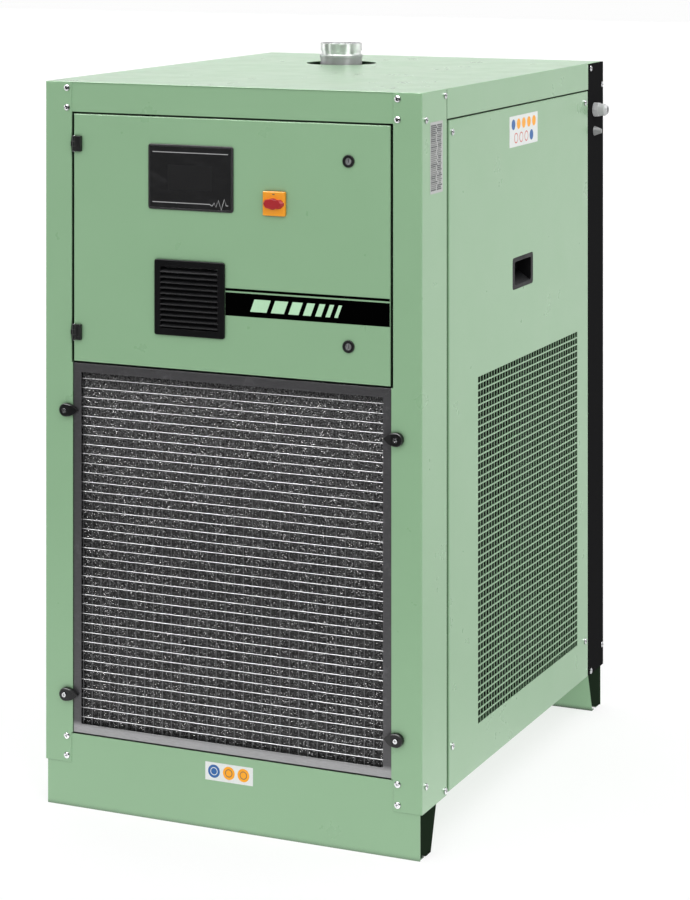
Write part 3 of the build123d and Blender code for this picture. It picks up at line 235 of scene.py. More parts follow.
def filter_channel():
    """Rolled channel of the filter frame: dull zinc whose colour carries painted reflections, dark for the
    dim room in front and pale along its foot for the floor.
    """
    s = Shade("filter_channel")
    low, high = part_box("filter_frame")
    # Painted reflection: pale along the foot for the floor, dark above it for the dim room in front.
    rise = s.range(s.axis("Z"), low.z + 0.012, low.z + 0.022, 0, 1)
    colour = s.mix(rise, (0.30, 0.30, 0.305), (0.050, 0.049, 0.052))
    streaks = s.range(s.noise(120, detail=4, stretch=(1, 1, 9)), 0.35, 0.65)
    colour = s.mix(s.sum(streaks, 0.22, "MULTIPLY"), colour, (0.12, 0.12, 0.125))
    scuffs = s.range(s.noise(38, detail=6, rough=0.7), 0.55, 0.75, 0, 0.3)
    colour = s.mix(scuffs, colour, (0.20, 0.20, 0.21))
    s.use(
        Base_Color=colour,
        Metallic=0.25,
        Roughness=s.range(streaks, 0, 1, 0.3, 0.42),
    )
    s.bump(streaks, 0.06, 0.0002, s.round_edges(0.002))
    return s.material


def bright_metal(name, colour, roughness, grain_scale=300, stretch=(1, 1, 1), grain=0.1):
    """Plated or turned metal with a fine grain, slightly tarnished patches and painted shade in its
    crevices.
    """
    s = Shade(name)
    grain_height = s.noise(grain_scale, detail=4, stretch=stretch)
    tarnish = s.range(s.noise(25, detail=5), 0.4, 0.75)
    base = s.mix(tarnish, colour, shade_of(colour, 0.72))
    s.use(
        # Painted shade: the colour goes near-black in crevices such as the cross recesses of screws.
        Base_Color=s.mix(s.painted_shade_mask(0.003), shade_of(colour, 0.03), base),
        Metallic=1.0,
        Roughness=s.range(grain_height, 0.3, 0.7, roughness - 0.06, roughness + 0.1),
    )
    s.bump(grain_height, grain, 0.0002, s.round_edges(0.0004))
    return s.material


def grid_wire():
    """Drawn wire with painted light: its colour is bright where it faces up and dull where it faces
    forward.
    """
    s = Shade("grid_wire")
    normal = s.add("ShaderNodeSeparateXYZ")
    s.join(normal.inputs["Vector"], s.add("ShaderNodeNewGeometry").outputs["Normal"])
    drawn = s.noise(500, detail=4)
    # Painted light: the upper side of the wire gets a lighter colour than its front.
    painted_top_light = s.range(normal.outputs["Z"], 0.1, 0.6)
    s.use(
        Base_Color=s.mix(painted_top_light, (0.10, 0.10, 0.103), (0.37, 0.37, 0.375)),
        Metallic=0.9,
        Roughness=s.range(drawn, 0.3, 0.7, 0.25, 0.4),
    )
    s.bump(drawn, 0.1, 0.0002)
    return s.material


def metal_wool(name, light, dark, roughness=0.2):
    """Knitted metal wool: strands with painted glints and painted shade in the gaps between them, brighter
    towards the top.
    """
    s = Shade(name)
    tangle = s.noise(400, detail=4, rough=0.7, distort=1.0)
    # Painted glints on the strands and painted shade in the gaps between them.
    glint_and_gap_shade = s.range(tangle, 0.42, 0.62)
    light = s.mix(s.range(s.axis("Z"), 0.5, 0.82), shade_of(light, 0.6), shade_of(light, 1.3))
    s.use(
        Base_Color=s.mix(glint_and_gap_shade, dark, light),
        Metallic=0.8,
        Roughness=s.range(s.noise(420, detail=2), 0.3, 0.7, roughness, roughness + 0.2),
    )
    s.bump(tangle, 0.9, 0.002)
    return s.material


def moulded_plastic(name, colour, roughness, grain=0.25, grain_scale=1500, edge_lightening=1.8, sheen=0.5):
    """Moulded plastic with a spark-eroded grain, softly rounded edges and faint scuffs."""
    s = Shade(name)
    scuffs = s.range(s.noise(45, detail=6, rough=0.65), 0.55, 0.8, 0, 0.35)
    base = s.mix(scuffs, colour, shade_of(colour, 1.25))
    base = s.mix(s.sum(s.edge_mask(0.0008), 0.6, "MULTIPLY"), base, shade_of(colour, edge_lightening))
    s.use(
        Base_Color=base,
        Roughness=s.range(s.noise(30, detail=4), 0.3, 0.7, roughness - 0.05, roughness + 0.08),
        Specular_IOR_Level=sheen,
    )
    s.bump(s.noise(grain_scale, detail=2), grain, 0.0001, s.round_edges(0.0007))
    return s.material


def glossy_film():
    """Front film of the display: near-black gloss with faint finger smears."""
    s = Shade("display_film")
    smears = s.range(s.noise(22, detail=5, stretch=(1, 1, 2.2), distort=0.8), 0.45, 0.75)
    s.use(
        Base_Color=s.mix(smears, (0.013, 0.013, 0.0135), (0.019, 0.019, 0.02)),
        Roughness=s.range(smears, 0, 1, 0.12, 0.3),
        Coat_Weight=0.4,
        Coat_Roughness=0.08,
    )
    s.bump(s.noise(70, detail=2), 0.03, 0.0002, s.round_edges(0.0003))
    return s.material


def printed(name, colour, roughness=0.42, sheen=0.3):
    """Ink or film on a label: matt print with paper-fine mottling."""
    s = Shade(name)
    mottle = s.range(s.noise(700, detail=3), 0.35, 0.65)
    fade = s.range(s.noise(16, detail=3), 0.35, 0.7)
    base = s.mix(mottle, shade_of(colour, 0.94), shade_of(colour, 1.04))
    s.use(
        Base_Color=s.mix(s.sum(fade, 0.5, "MULTIPLY"), base, shade_of(colour, 1.08)),
        Roughness=s.range(fade, 0, 1, roughness - 0.05, roughness + 0.08),
        Specular_IOR_Level=sheen,
    )
    s.bump(mottle, 0.05, 0.0001)
    return s.material


def rubber(name, colour, pores):
    """Rubber or closed-cell foam with small pores and a chalky bloom."""
    s = Shade(name)
    cell = s.cells(pores)
    bloom = s.range(s.noise(40, detail=5), 0.4, 0.75)
    s.use(
        Base_Color=s.mix(bloom, colour, shade_of(colour, 1.6)),
        Roughness=s.range(bloom, 0, 1, 0.7, 0.92),
        Sheen_Weight=0.15,
    )
    s.bump(cell, 0.35, 0.0006)
    return s.material


def shade_cloth():
    """Dark cloth that paints the shade inside the cabinet, with faint paler upright bands of painted light.
    """
    s = Shade("shade_cloth")
    weave = s.noise(700, detail=2, stretch=(1, 1, 0.4))
    bands = s.range(s.noise(9, detail=2, stretch=(1, 1, 0.15)), 0.48, 0.72)
    # Painted shade for the dark inside of the cabinet, with faint bands of painted light.
    s.use(
        Base_Color=s.mix(bands, (0.0015, 0.0018, 0.0015), (0.016, 0.017, 0.017)),
        Roughness=s.range(weave, 0.3, 0.7, 0.85, 0.98),
        Specular_IOR_Level=0.05,
    )
    s.bump(weave, 0.5, 0.0006)
    return s.material


def fin_stack():
    """Condenser face: thin upright fins as pale stripes with painted shade between them, and patches of
    dust.
    """
    s = Shade("fin_stack")
    wave = s.add("ShaderNodeTexWave", wave_type="BANDS", bands_direction="X")
    s.join(wave.inputs["Vector"], s.place)
    wave.inputs["Scale"].default_value = 150
    wave.inputs["Distortion"].default_value = 0.15
    fins = wave.outputs["Fac"]
    dust = s.range(s.noise(12, detail=6), 0.4, 0.75, 0, 0.5)
    # Painted shade: near-black stripes stand for the gaps between the fins.
    base = s.mix(fins, (0.05, 0.05, 0.05), (0.62, 0.63, 0.64))
    s.use(
        Base_Color=s.mix(dust, base, (0.2, 0.19, 0.17)),
        Metallic=0.8,
        Roughness=0.4,
    )
    s.bump(fins, 0.6, 0.002)
    return s.material


def pipe_steel():
    """Grooved pipe end: bright turned steel above the groove, duller rolled steel below it."""
    s = Shade("pipe_steel")
    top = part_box("air_inlet_pipe")[1].z
    lathe = s.noise(90, detail=3, stretch=(0.4, 0.4, 16))
    drawn = s.noise(160, detail=5, stretch=(3, 3, 0.25))
    turned = s.range(s.axis("Z"), top - 0.0245, top - 0.0235)
    base = s.mix(turned, (0.5, 0.505, 0.51), (0.88, 0.885, 0.89))
    stains = s.range(s.noise(30, detail=6, stretch=(2, 2, 0.6)), 0.4, 0.75, 0, 0.5)
    s.use(
        Base_Color=s.mix(stains, base, (0.36, 0.355, 0.35)),
        Metallic=0.65,
        Roughness=s.range(turned, 0, 1, 0.42, 0.16),
        Specular_Tint=(0.35, 0.35, 0.35),
    )
    s.bump(s.sum(lathe, drawn), 0.18, 0.0003, s.round_edges(0.0008))
    return s.material


GREEN = (0.238, 0.405, 0.238)

mat = {
    "green": powder_coat("green_powder_coat", GREEN, 0.3, 0.012),
    # Painted shade: the walls of the perforation's holes get a near-black coat.
    "hole_wall": powder_coat("shaded_hole_edge", (0.008, 0.015, 0.008), 0.6, 0.05, sheen=0.05),
    "black_coat": powder_coat("black_powder_coat", (0.0125, 0.0125, 0.013), 0.7, 0.05, sheen=0.0),
    # Painted shade: the foot gussets stand for green sheet in the shade under the cabinet, so they get a
    # near-black coat.
    "gusset_shade_coat": powder_coat("gusset_painted_shade", (0.013, 0.022, 0.013), 0.7, 0.05, sheen=0.0),
    "galvanised": galvanised_sheet("galvanised_sheet", (0.62, 0.63, 0.64), (0.42, 0.43, 0.44)),
    "channel": filter_channel(),
    "wire": grid_wire(),
    "wool": metal_wool("metal_wool_mat", (0.14, 0.14, 0.142), (0.003, 0.003, 0.003)),
    "strand": metal_wool("metal_wool_strand", (0.97, 0.97, 0.97), (0.45, 0.45, 0.455), 0.08),
    "zinc": bright_metal("zinc_plate", (0.62, 0.625, 0.64), 0.16, 700),
    "black_plastic": moulded_plastic("black_moulding", (0.0065, 0.0065, 0.007), 0.3, sheen=0.3),
    "matt_plastic": moulded_plastic("matt_black_moulding", (0.0055, 0.0055, 0.006), 0.4, sheen=0.08),
    "bezel": moulded_plastic("display_bezel", (0.012, 0.012, 0.0125), 0.5),
    "black_metal": moulded_plastic("black_hinge_finish", (0.008, 0.008, 0.0085), 0.35, 0.15),
    "yellow": moulded_plastic("yellow_moulding", (0.80, 0.30, 0.005), 0.34, 0.12, edge_lightening=1.1),
    "red": moulded_plastic("red_moulding", (0.36, 0.012, 0.017), 0.3, 0.1, edge_lightening=1.35),
    "grey_plastic": moulded_plastic("grey_moulding", (0.47, 0.475, 0.48), 0.42, 0.2, edge_lightening=1.2),
    "plug_plastic": moulded_plastic("plug_moulding", (0.20, 0.205, 0.205), 0.4, 0.2, edge_lightening=1.4),
    "film": glossy_film(),
    "film_line": printed("display_print_ink", (0.36, 0.36, 0.365)),
    "screen": printed("screen_glass", (0.0165, 0.0165, 0.017), 0.2),
    "stripe": printed("stripe_black", (0.0006, 0.0006, 0.0006), 0.5, sheen=0.0),
    "stripe_mark": printed("stripe_pale_green", (0.42, 0.66, 0.44), 0.35),
    "label": printed("label_white", (0.70, 0.725, 0.71)),
    "plate": printed("rating_plate_foil", (0.42, 0.43, 0.42)),
    "label_dark": printed("label_dark_field", (0.075, 0.08, 0.08)),
    "label_blue": printed("label_blue", (0.022, 0.11, 0.33)),
    "label_orange": printed("label_orange", (0.88, 0.36, 0.012)),
    "label_red": printed("label_red", (0.55, 0.07, 0.05)),
    "label_line": printed("label_line_grey", (0.17, 0.175, 0.17)),
    "rubber": rubber("black_rubber", (0.014, 0.014, 0.014), 900),
    "foam": rubber("dark_foam", (0.03, 0.03, 0.031), 420),
    "insulation": rubber("grey_insulation", (0.11, 0.112, 0.115), 500),
    "cloth": shade_cloth(),
    "fins": fin_stack(),
    "copper": bright_metal("copper_tube", (0.72, 0.36, 0.22), 0.3, 200),
    "shell": powder_coat("black_shell_enamel", (0.02, 0.02, 0.021), 0.25, 0.2),
    "pipe": pipe_steel(),
    "stainless": bright_metal("stainless_sheet", (0.55, 0.555, 0.56), 0.32, 120, (1, 1, 12)),
}

CAD_FINISH = {
    "green": [
        "left_front_column", "right_front_column", "front_header", "middle_rail", "base_pan",
        "front_kick_plate", "rear_kick_plate", "roof_panel", "left_side_panel", "right_side_panel",
        "door_panel", "lock_strikes",
    ],
    "black_coat": ["rear_cover", "rear_posts"],
    # Foot gussets: near-black green as painted shade.
    "gusset_shade_coat": ["foot_gussets"],
    "galvanised": ["electrical_tray", "din_rails", "fan_shroud", "upper_lock_cam", "lower_lock_cam"],
    "channel": ["filter_frame"],
    "wire": ["filter_wire_grid"],
    "wool": ["filter_wool"],
    "zinc": ["cabinet_screws", "knob_screws", "hinge_pins"],
    "black_plastic": [
        "filter_knob_upper_left", "filter_knob_upper_right",
        "filter_knob_lower_left", "filter_knob_lower_right", "fan_impeller",
    ],
    "matt_plastic": ["side_grip_cups", "vent_grille"],
    "bezel": ["display_housing"],
    "black_metal": ["door_hinge_leaves", "frame_hinge_leaves", "lock_housings"],
    "film": ["display_lens"],
    "yellow": ["switch_plate"],
    "red": ["switch_handle"],
    "stripe": ["door_stripe"],
    "plate": ["rating_plate"],
    "label": ["information_labels"],
    "grey_plastic": ["cable_gland", "switchgear", "condensate_drain"],
    "plug_plastic": ["cable_plug"],
    "rubber": ["door_seal", "compressor_grommets"],
    "foam": ["exchanger_jacket"],
    "insulation": ["suction_line"],
    "fins": ["condenser_coil"],
    "copper": ["condenser_bends", "discharge_line"],
    "shell": ["compressor", "liquid_receiver", "fan_motor"],
    "pipe": ["air_inlet_pipe", "air_outlet_pipe"],
    "stainless": ["heat_exchanger"],
}


# ---------------------------------------------------------------- mesh helpers


def finish_piece(mesh, name, material, body):
    """Turn a bmesh or mesh into a piece that rides on a body."""
    if isinstance(mesh, bmesh.types.BMesh):
        data = bpy.data.meshes.new(name)
        mesh.to_mesh(data)
        mesh.free()
    else:
        data = mesh
    data.name = name
    piece = bpy.data.objects.new(name, data)
    bpy.context.scene.collection.objects.link(piece)
    for entry in material if isinstance(material, list) else [material]:
        data.materials.append(mat[entry])
    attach(piece, body)
    return piece


def smooth_by_angle(piece, degrees=32):
    """Smooth shading across edges flatter than the angle."""
    data = piece.data
    data.polygons.foreach_set("use_smooth", [True] * len(data.polygons))
    mesh = bmesh.new()
    mesh.from_mesh(data)
    limit = math.radians(degrees)
    for edge in mesh.edges:
        edge.smooth = len(edge.link_faces) == 2 and edge.calc_face_angle(0) < limit
    mesh.to_mesh(data)
    mesh.free()


def add_prism(mesh, outline, place, normal_depth, material=0):
    """A closed prism: place(u, v, depth) maps the outline's points to 3-D at both depths."""
    low, high = normal_depth
    back = [mesh.verts.new(place(u, v, low)) for u, v in outline]
    front = [mesh.verts.new(place(u, v, high)) for u, v in outline]
    faces = [mesh.faces.new(front), mesh.faces.new(list(reversed(back)))]
    count = len(outline)
    for i in range(count):
        j = (i + 1) % count
        faces.append(mesh.faces.new((back[i], back[j], front[j], front[i])))
    for face in faces:
        face.material_index = material


def circle_outline(u, v, radius, count=32):
    turns = [2 * math.pi * i / count for i in range(count)]
    return [(u + radius * math.cos(turn), v + radius * math.sin(turn)) for turn in turns]


def rectangle_outline(left, right, low, high):
    return [(left, low), (right, low), (right, high), (left, high)]


def on_front(y):
    """Place function for print on a face that looks to -Y; depth stands out from it."""
    return lambda u, v, depth: (u, y - depth, v)


def on_right(x):
    """Place function for print on a face that looks to +X."""
    return lambda u, v, depth: (x + depth, u, v)


# ---------------------------------------------------------------- CAD nodes: finishes


def finish_cad_nodes():
    for finish, names in CAD_FINISH.items():
        for name in names:
            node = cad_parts[name]
            node.data.materials.clear()
            node.data.materials.append(mat[finish])


# ---------------------------------------------------------------- perforated side panel

HOLE_COLUMNS = 39
HOLE_ROWS = 48
HOLE_PITCH_Y = 14.9 * MM
HOLE_PITCH_Z = 13.9 * MM
HOLE_WEB_Y = 1.2 * MM
HOLE_WEB_Z = 2.9 * MM
FIELD_Y = FRONT + 572 * MM
FIELD_Z = 504 * MM
SHEET = 1.5 * MM


def perforated_panel():
    """The right panel with every small hole: the CAD panel's own sheet outside the field, a new
    grid of webs inside it."""
    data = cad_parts["right_side_panel"].data.copy()
    mesh = bmesh.new()
    mesh.from_mesh(data)
    bmesh.ops.remove_doubles(mesh, verts=mesh.verts, dist=1e-6)
    rim = 0.5 * MM
    half_y = HOLE_COLUMNS * HOLE_PITCH_Y / 2 - HOLE_WEB_Y / 2 + rim
    half_z = HOLE_ROWS * HOLE_PITCH_Z / 2 - HOLE_WEB_Z / 2 + rim
    for axis, middle, half in ((1, FIELD_Y, half_y), (2, FIELD_Z, half_z)):
        for side in (-1, 1):
            point = [0, 0, 0]
            normal = [0, 0, 0]
            point[axis] = middle + side * half
            normal[axis] = 1
            everything = mesh.verts[:] + mesh.edges[:] + mesh.faces[:]
            bmesh.ops.bisect_plane(mesh, geom=everything, dist=1e-7, plane_co=point, plane_no=normal)
    inside = [
        face
        for face in mesh.faces
        if abs(face.calc_center_median().y - FIELD_Y) < half_y
        and abs(face.calc_center_median().z - FIELD_Z) < half_z
    ]
    bmesh.ops.delete(mesh, geom=inside, context="FACES")

    def lines(middle, pitch, web, count, half):
        """Sheet edges along one direction: border, then both sides of each hole, then border."""
        marks = [middle - half]
        for k in range(count):
            centre = middle + (k - (count - 1) / 2) * pitch
            marks += [centre - (pitch - web) / 2, centre + (pitch - web) / 2]
        return marks + [middle + half]

    ys = lines(FIELD_Y, HOLE_PITCH_Y, HOLE_WEB_Y, HOLE_COLUMNS, half_y)
    zs = lines(FIELD_Z, HOLE_PITCH_Z, HOLE_WEB_Z, HOLE_ROWS, half_z)
    outer = [[mesh.verts.new((RIGHT, y, z)) for z in zs] for y in ys]
    inner = [[mesh.verts.new((RIGHT - SHEET, y, z)) for z in zs] for y in ys]
    for i in range(len(ys) - 1):
        for j in range(len(zs) - 1):
            is_hole = i % 2 == 1 and j % 2 == 1
            o = outer[i][j], outer[i + 1][j], outer[i + 1][j + 1], outer[i][j + 1]
            n = inner[i][j], inner[i + 1][j], inner[i + 1][j + 1], inner[i][j + 1]
            if is_hole:
                # The hole walls take the near-black coat of painted shade.
                for a, b in ((0, 1), (1, 2), (2, 3), (3, 0)):
                    wall = mesh.faces.new((o[b], o[a], n[a], n[b]))
                    wall.material_index = 1
            else:
                mesh.faces.new(o)
                mesh.faces.new(tuple(reversed(n)))
    mesh.to_mesh(data)
    mesh.free()
    data.materials.clear()
    piece = finish_piece(data, "perforated_side_panel", ["green", "hole_wall"], "cabinet")
    smooth_by_angle(piece)
    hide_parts("right_side_panel")


def side_shade_cloth():
    """Softly pleated dark cloth stretched behind the perforated field of the right panel, a sheet of
    painted shade for the cabinet's inside.
    """
    overlap = 6 * MM
    half_y = HOLE_COLUMNS * HOLE_PITCH_Y / 2 + overlap
    half_z = HOLE_ROWS * HOLE_PITCH_Z / 2 + overlap
    face, back = RIGHT - 20 * MM, RIGHT - 24 * MM
    pleats = 48
    pleat_depth = 1.2 * MM
    mesh = bmesh.new()
    outline = []
    for k in range(pleats + 1):
        y = FIELD_Y - half_y + 2 * half_y * k / pleats
        outline.append((face - (pleat_depth if k % 2 else 0.0), y))
    outline += [(back, FIELD_Y + half_y), (back, FIELD_Y - half_y)]
    add_prism(mesh, outline, lambda u, v, depth: (u, v, depth), (FIELD_Z - half_z, FIELD_Z + half_z))
    bmesh.ops.recalc_face_normals(mesh, faces=mesh.faces)
    finish_piece(mesh, "side_shade_cloth", "cloth", "cabinet")


# ---------------------------------------------------------------- filter media


WOOL_LOW, WOOL_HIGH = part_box("filter_wool")
WOOL_STEP = 2.6 * MM
WOOL_CREST = 2.2 * MM
WOOL_MIDDLE = WOOL_LOW.y + WOOL_CREST + 1.0 * MM
STRAND_COUNT = 22000
STRAND_MARGIN = 8 * MM
STRAND_LENGTH = (1.6, 4.2)
STRAND_HALF_WIDTH = (0.2, 0.42)
STRAND_LIFT = (0.2, 1.4)
STRAND_SWAY = 0.5 * MM
UPRIGHT_SHARE = 0.35


def wool_height(x, z):
    """How far the crumpled wool stands forward at a point, from -1 to 1."""
    coarse = noise.noise(Vector((x * 90, z * 120, 3.1)))
    fine = noise.noise(Vector((x * 330, z * 360, 8.7)))
    return 0.55 * coarse + 0.45 * fine


def wool_face(x, z):
    """Y of the wool's front face at a point."""
    return WOOL_MIDDLE - WOOL_CREST * wool_height(x, z)


def wool_mat():
    """Crumpled mat of knitted metal wool, flat at the back."""
    low, high = WOOL_LOW, WOOL_HIGH
    columns = int((high.x - low.x) / WOOL_STEP)
    rows = int((high.z - low.z) / WOOL_STEP)
    mesh = bmesh.new()
    grid = []
    for i in range(columns + 1):
        x = low.x + (high.x - low.x) * i / columns
        heights = [low.z + (high.z - low.z) * j / rows for j in range(rows + 1)]
        grid.append([mesh.verts.new((x, wool_face(x, z), z)) for z in heights])
    for i in range(columns):
        for j in range(rows):
            mesh.faces.new((grid[i][j], grid[i + 1][j], grid[i + 1][j + 1], grid[i][j + 1]))
    rim = [grid[0][0], grid[columns][0], grid[columns][rows], grid[0][rows]]
    back = [mesh.verts.new((v.co.x, high.y, v.co.z)) for v in rim]
    mesh.faces.new(list(reversed(back)))
    piece = finish_piece(mesh, "filter_wool_mat", "wool", "cabinet")
    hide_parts("filter_wool")


def wool_strands():
    """Short glinting foil strands, twisted and bent, that lie on the front of the mat."""
    low_x, high_x = WOOL_LOW.x + STRAND_MARGIN, WOOL_HIGH.x - STRAND_MARGIN
    low_z, high_z = WOOL_LOW.z + STRAND_MARGIN, WOOL_HIGH.z - STRAND_MARGIN
    draw = random.Random(41)
    mesh = bmesh.new()
    for _ in range(STRAND_COUNT):
        x = draw.uniform(low_x, high_x)
        z = draw.uniform(low_z, high_z)
        y = wool_face(x, z) - draw.uniform(*STRAND_LIFT) * MM
        heading = draw.gauss(0, 0.55) + (math.pi / 2 if draw.random() < UPRIGHT_SHARE else 0)
        length = draw.uniform(*STRAND_LENGTH) * MM
        half_width = draw.uniform(*STRAND_HALF_WIDTH) * MM
        twist = draw.uniform(-1.1, 1.1)
        previous = None
        for k in range(3):
            along = (k / 2 - 0.5) * length
            sway = math.sin(k * 2.1 + twist * 3) * STRAND_SWAY
            cx = x + along * math.cos(heading) - sway * math.sin(heading)
            cz = z + along * math.sin(heading) + sway * math.cos(heading)
            lean = twist + 0.5 * k
            across = Vector((
                -math.sin(heading) * math.cos(lean),
                math.sin(lean),
                math.cos(heading) * math.cos(lean),
            ))
            centre = Vector((cx, min(y, WOOL_MIDDLE), cz))
            pair = [mesh.verts.new(centre + side * half_width * across) for side in (-1, 1)]
            if previous:
                mesh.faces.new((previous[0], pair[0], pair[1], previous[1]))
            previous = pair
    strands = finish_piece(mesh, "filter_wool_strands", "strand", "cabinet")


# ---------------------------------------------------------------- prints and labels


# rise of the pulse line (mm) at distances along it (mm)
PULSE_BEATS = (
    (4.9, -3), (9.4, 3), (13.1, -4.7), (18, 8.7), (24.3, -9.6), (31.1, 11), (34.8, -1.2), (38.6, -1.2),
)


def display_print():
    """Thin lines on the display film, a pulse line, and the dark screen window."""
    low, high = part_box("display_lens")
    place = on_front(low.y)
    mid_x = (low.x + high.x) / 2
    left, right = mid_x - 80.5 * MM, mid_x + 80 * MM
    line = 1.5 * MM
    thick = (0.0, 0.08 * MM)
    mesh = bmesh.new()
    upper_z = high.z - 10.5 * MM
    add_prism(mesh, rectangle_outline(left, right, upper_z - line / 2, upper_z + line / 2), place, thick)
    lower_z = low.z + 10 * MM
    pulse_start = right - 38.6 * MM
    points = [(left, lower_z), (pulse_start, lower_z)]
    for along, rise in PULSE_BEATS:
        points.append((pulse_start + along * MM, lower_z + rise * MM))
    half = line / 2
    above, below = [], []
    for k, (u, v) in enumerate(points):
        before = points[max(k - 1, 0)]
        after = points[min(k + 1, len(points) - 1)]
        direction = Vector((after[0] - before[0], after[1] - before[1])).normalized()
        above.append((u - direction.y * half, v + direction.x * half))
        below.append((u + direction.y * half, v - direction.x * half))
    for k in range(len(points) - 1):
        add_prism(mesh, [below[k], below[k + 1], above[k + 1], above[k]], place, thick)
    bmesh.ops.remove_doubles(mesh, verts=mesh.verts, dist=1e-7)
    finish_piece(mesh, "display_lines", "film_line", "door")

    mesh = bmesh.new()
    screen = ((mid_x - 48 * MM, mid_x + 46 * MM), (lower_z + 24.5 * MM, lower_z + 72 * MM))
    add_prism(mesh, rectangle_outline(*screen[0], *screen[1]), place, (0.0, 0.05 * MM))
    finish_piece(mesh, "display_screen", "screen", "door")


def stripe_marks():
    """A plain row of slanted bars on the printed stripe."""
    low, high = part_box("door_stripe")
    band_top = low.z + 43.5 * MM
    place = on_front(low.y)
    mesh = bmesh.new()
    v0, v1 = low.z + 10 * MM, band_top - 10 * MM
    slant = 9 * MM
    u = low.x + 52 * MM
    for width in (34, 27, 21, 16, 12, 9, 7):
        wide = width * MM
        bar = [(u, v0), (u + wide, v0), (u + wide + slant, v1), (u + slant, v1)]
        add_prism(mesh, bar, place, (0, 0.12 * MM))
        u += wide + 9 * MM
    finish_piece(mesh, "stripe_bars", "stripe_mark", "door")


def add_disc_print(mesh, place, u, v, radius, material, height=0.1 * MM):
    add_prism(mesh, circle_outline(u, v, radius), place, (0, height), material)


def rating_plate_fields():
    """Rows of dark and grey bars in place of the rating plate's text."""
    low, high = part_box("rating_plate")
    place = on_right(high.x)
    mesh = bmesh.new()
    rows = 34
    border = 5 * MM
    half_bar = 1.4 * MM
    height = (high.z - low.z - 2 * border) / rows
    draw = random.Random(7)
    for row in range(rows):
        v = high.z - border - (row + 0.5) * height
        split = low.y + draw.uniform(26, 36) * MM
        for start, end in ((low.y + 3 * MM, split), (split + 4 * MM, high.y - draw.uniform(3, 10) * MM)):
            field = rectangle_outline(start, end, v - half_bar, v + half_bar)
            add_prism(mesh, field, place, (0, 0.06 * MM), draw.choice((0, 1)))
    finish_piece(mesh, "rating_plate_fields", ["label_dark", "label_line"], "cabinet")


def side_label_marks():
    """Two rows of plain discs and rings on the label of the right side."""
    label_start = FRONT + 453 * MM
    upper_row, lower_row = 1304.5 * MM, 1277 * MM
    pitch = 29.5
    disc = 10.5 * MM
    ring_hole = 8.3 * MM
    blue, orange, red, white = range(4)
    place = on_right(RIGHT + 0.3 * MM)
    mesh = bmesh.new()
    for k in range(5):
        u = label_start + (22 + pitch * k) * MM
        add_disc_print(mesh, place, u, upper_row, disc, blue if k == 0 else orange)
    for k in range(4):
        u = label_start + (37 + pitch * k) * MM
        is_ring = k != 3
        add_disc_print(mesh, place, u, lower_row, disc, red if is_ring else blue)
        if is_ring:
            add_disc_print(mesh, place, u, lower_row, ring_hole, white, 0.16 * MM)
    inks = ["label_blue", "label_orange", "label_red", "label"]
    finish_piece(mesh, "side_label_marks", inks, "cabinet")


def kick_label_marks():
    """One blue and two orange targets on the label of the kick plate."""
    label_height = 108.5 * MM
    blue, orange, white, dark = range(4)
    place = on_front(KICK_FACE - 0.3 * MM)
    mesh = bmesh.new()
    for u, ink, ring in ((-29.6 * MM, blue, white), (1.6 * MM, orange, dark), (32.2 * MM, orange, dark)):
        add_disc_print(mesh, place, u, label_height, 12.4 * MM, ink)
        add_disc_print(mesh, place, u, label_height, 7.5 * MM, ring, 0.16 * MM)
        add_disc_print(mesh, place, u, label_height, 6.2 * MM, ink, 0.2 * MM)
    inks = ["label_blue", "label_orange", "label", "label_dark"]
    finish_piece(mesh, "kick_label_marks", inks, "cabinet")


def switch_marks():
    """Two small printed ticks for the switch positions."""
    low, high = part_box("switch_plate")
    place = on_front(low.y)
    mid_x, mid_z = (low.x + high.x) / 2, (low.z + high.z) / 2
    mesh = bmesh.new()
    upper_tick = (mid_x, high.z - 5 * MM, 2.6 * MM, 0.9 * MM)
    right_tick = (high.x - 4 * MM, mid_z, 0.8 * MM, 2.2 * MM)
    for u, v, half_u, half_v in (upper_tick, right_tick):
        tick = rectangle_outline(u - half_u, u + half_u, v - half_v, v + half_v)
        add_prism(mesh, tick, place, (0, 0.08 * MM))
    finish_piece(mesh, "switch_ticks", "label_dark", "door")


# ---------------------------------------------------------------- stage, light and camera


def emitting_floor():
    """Pale glowing floor with faint contact shadows. Mirrored, it is bright around the cabinet and
    behind it, and dark far in front."""
    s = Shade("studio_floor")
    s.use(
        Base_Color=s.mix(s.noise(2.0, detail=2), (0.27, 0.27, 0.27), (0.28, 0.28, 0.28)),
        Roughness=0.9,
        Specular_IOR_Level=0.05,
        Emission_Color=(1.0, 1.0, 1.0),
        Emission_Strength=0.74,
    )
    depth = s.axis("Y")
    in_front = s.range(depth, -2.5, -0.9, 0.05, 1.8)
    behind = s.range(depth, 0.5, 4.0, 1.0, 1.25)
    mirrored = s.add("ShaderNodeEmission")
    s.join(mirrored.inputs["Strength"], s.mix_value(s.range(depth, -0.5, 0.5), in_front, behind))
    blend = s.add("ShaderNodeMixShader")
    s.join(blend.inputs["Fac"], s.add("ShaderNodeLightPath").outputs["Is Glossy Ray"])
    shaders = [socket for socket in blend.inputs if socket.type == "SHADER"]
    s.join(shaders[0], s.surface.outputs["BSDF"])
    s.join(shaders[1], mirrored.outputs["Emission"])
    s.join(s.output.inputs["Surface"], blend.outputs["Shader"])
    return s.material


def stage():
    """Floor plane out to 30 m."""
    mesh = bmesh.new()
    half = 30.0
    corners = rectangle_outline(-half, half, -half, half)
    mesh.faces.new([mesh.verts.new((x, y, 0)) for x, y in corners])
    data = bpy.data.meshes.new("floor")
    mesh.to_mesh(data)
    mesh.free()
    floor = bpy.data.objects.new("floor", data)
    data.materials.append(emitting_floor())
    bpy.context.scene.collection.objects.link(floor)


LAMP_COUNT = 7.0


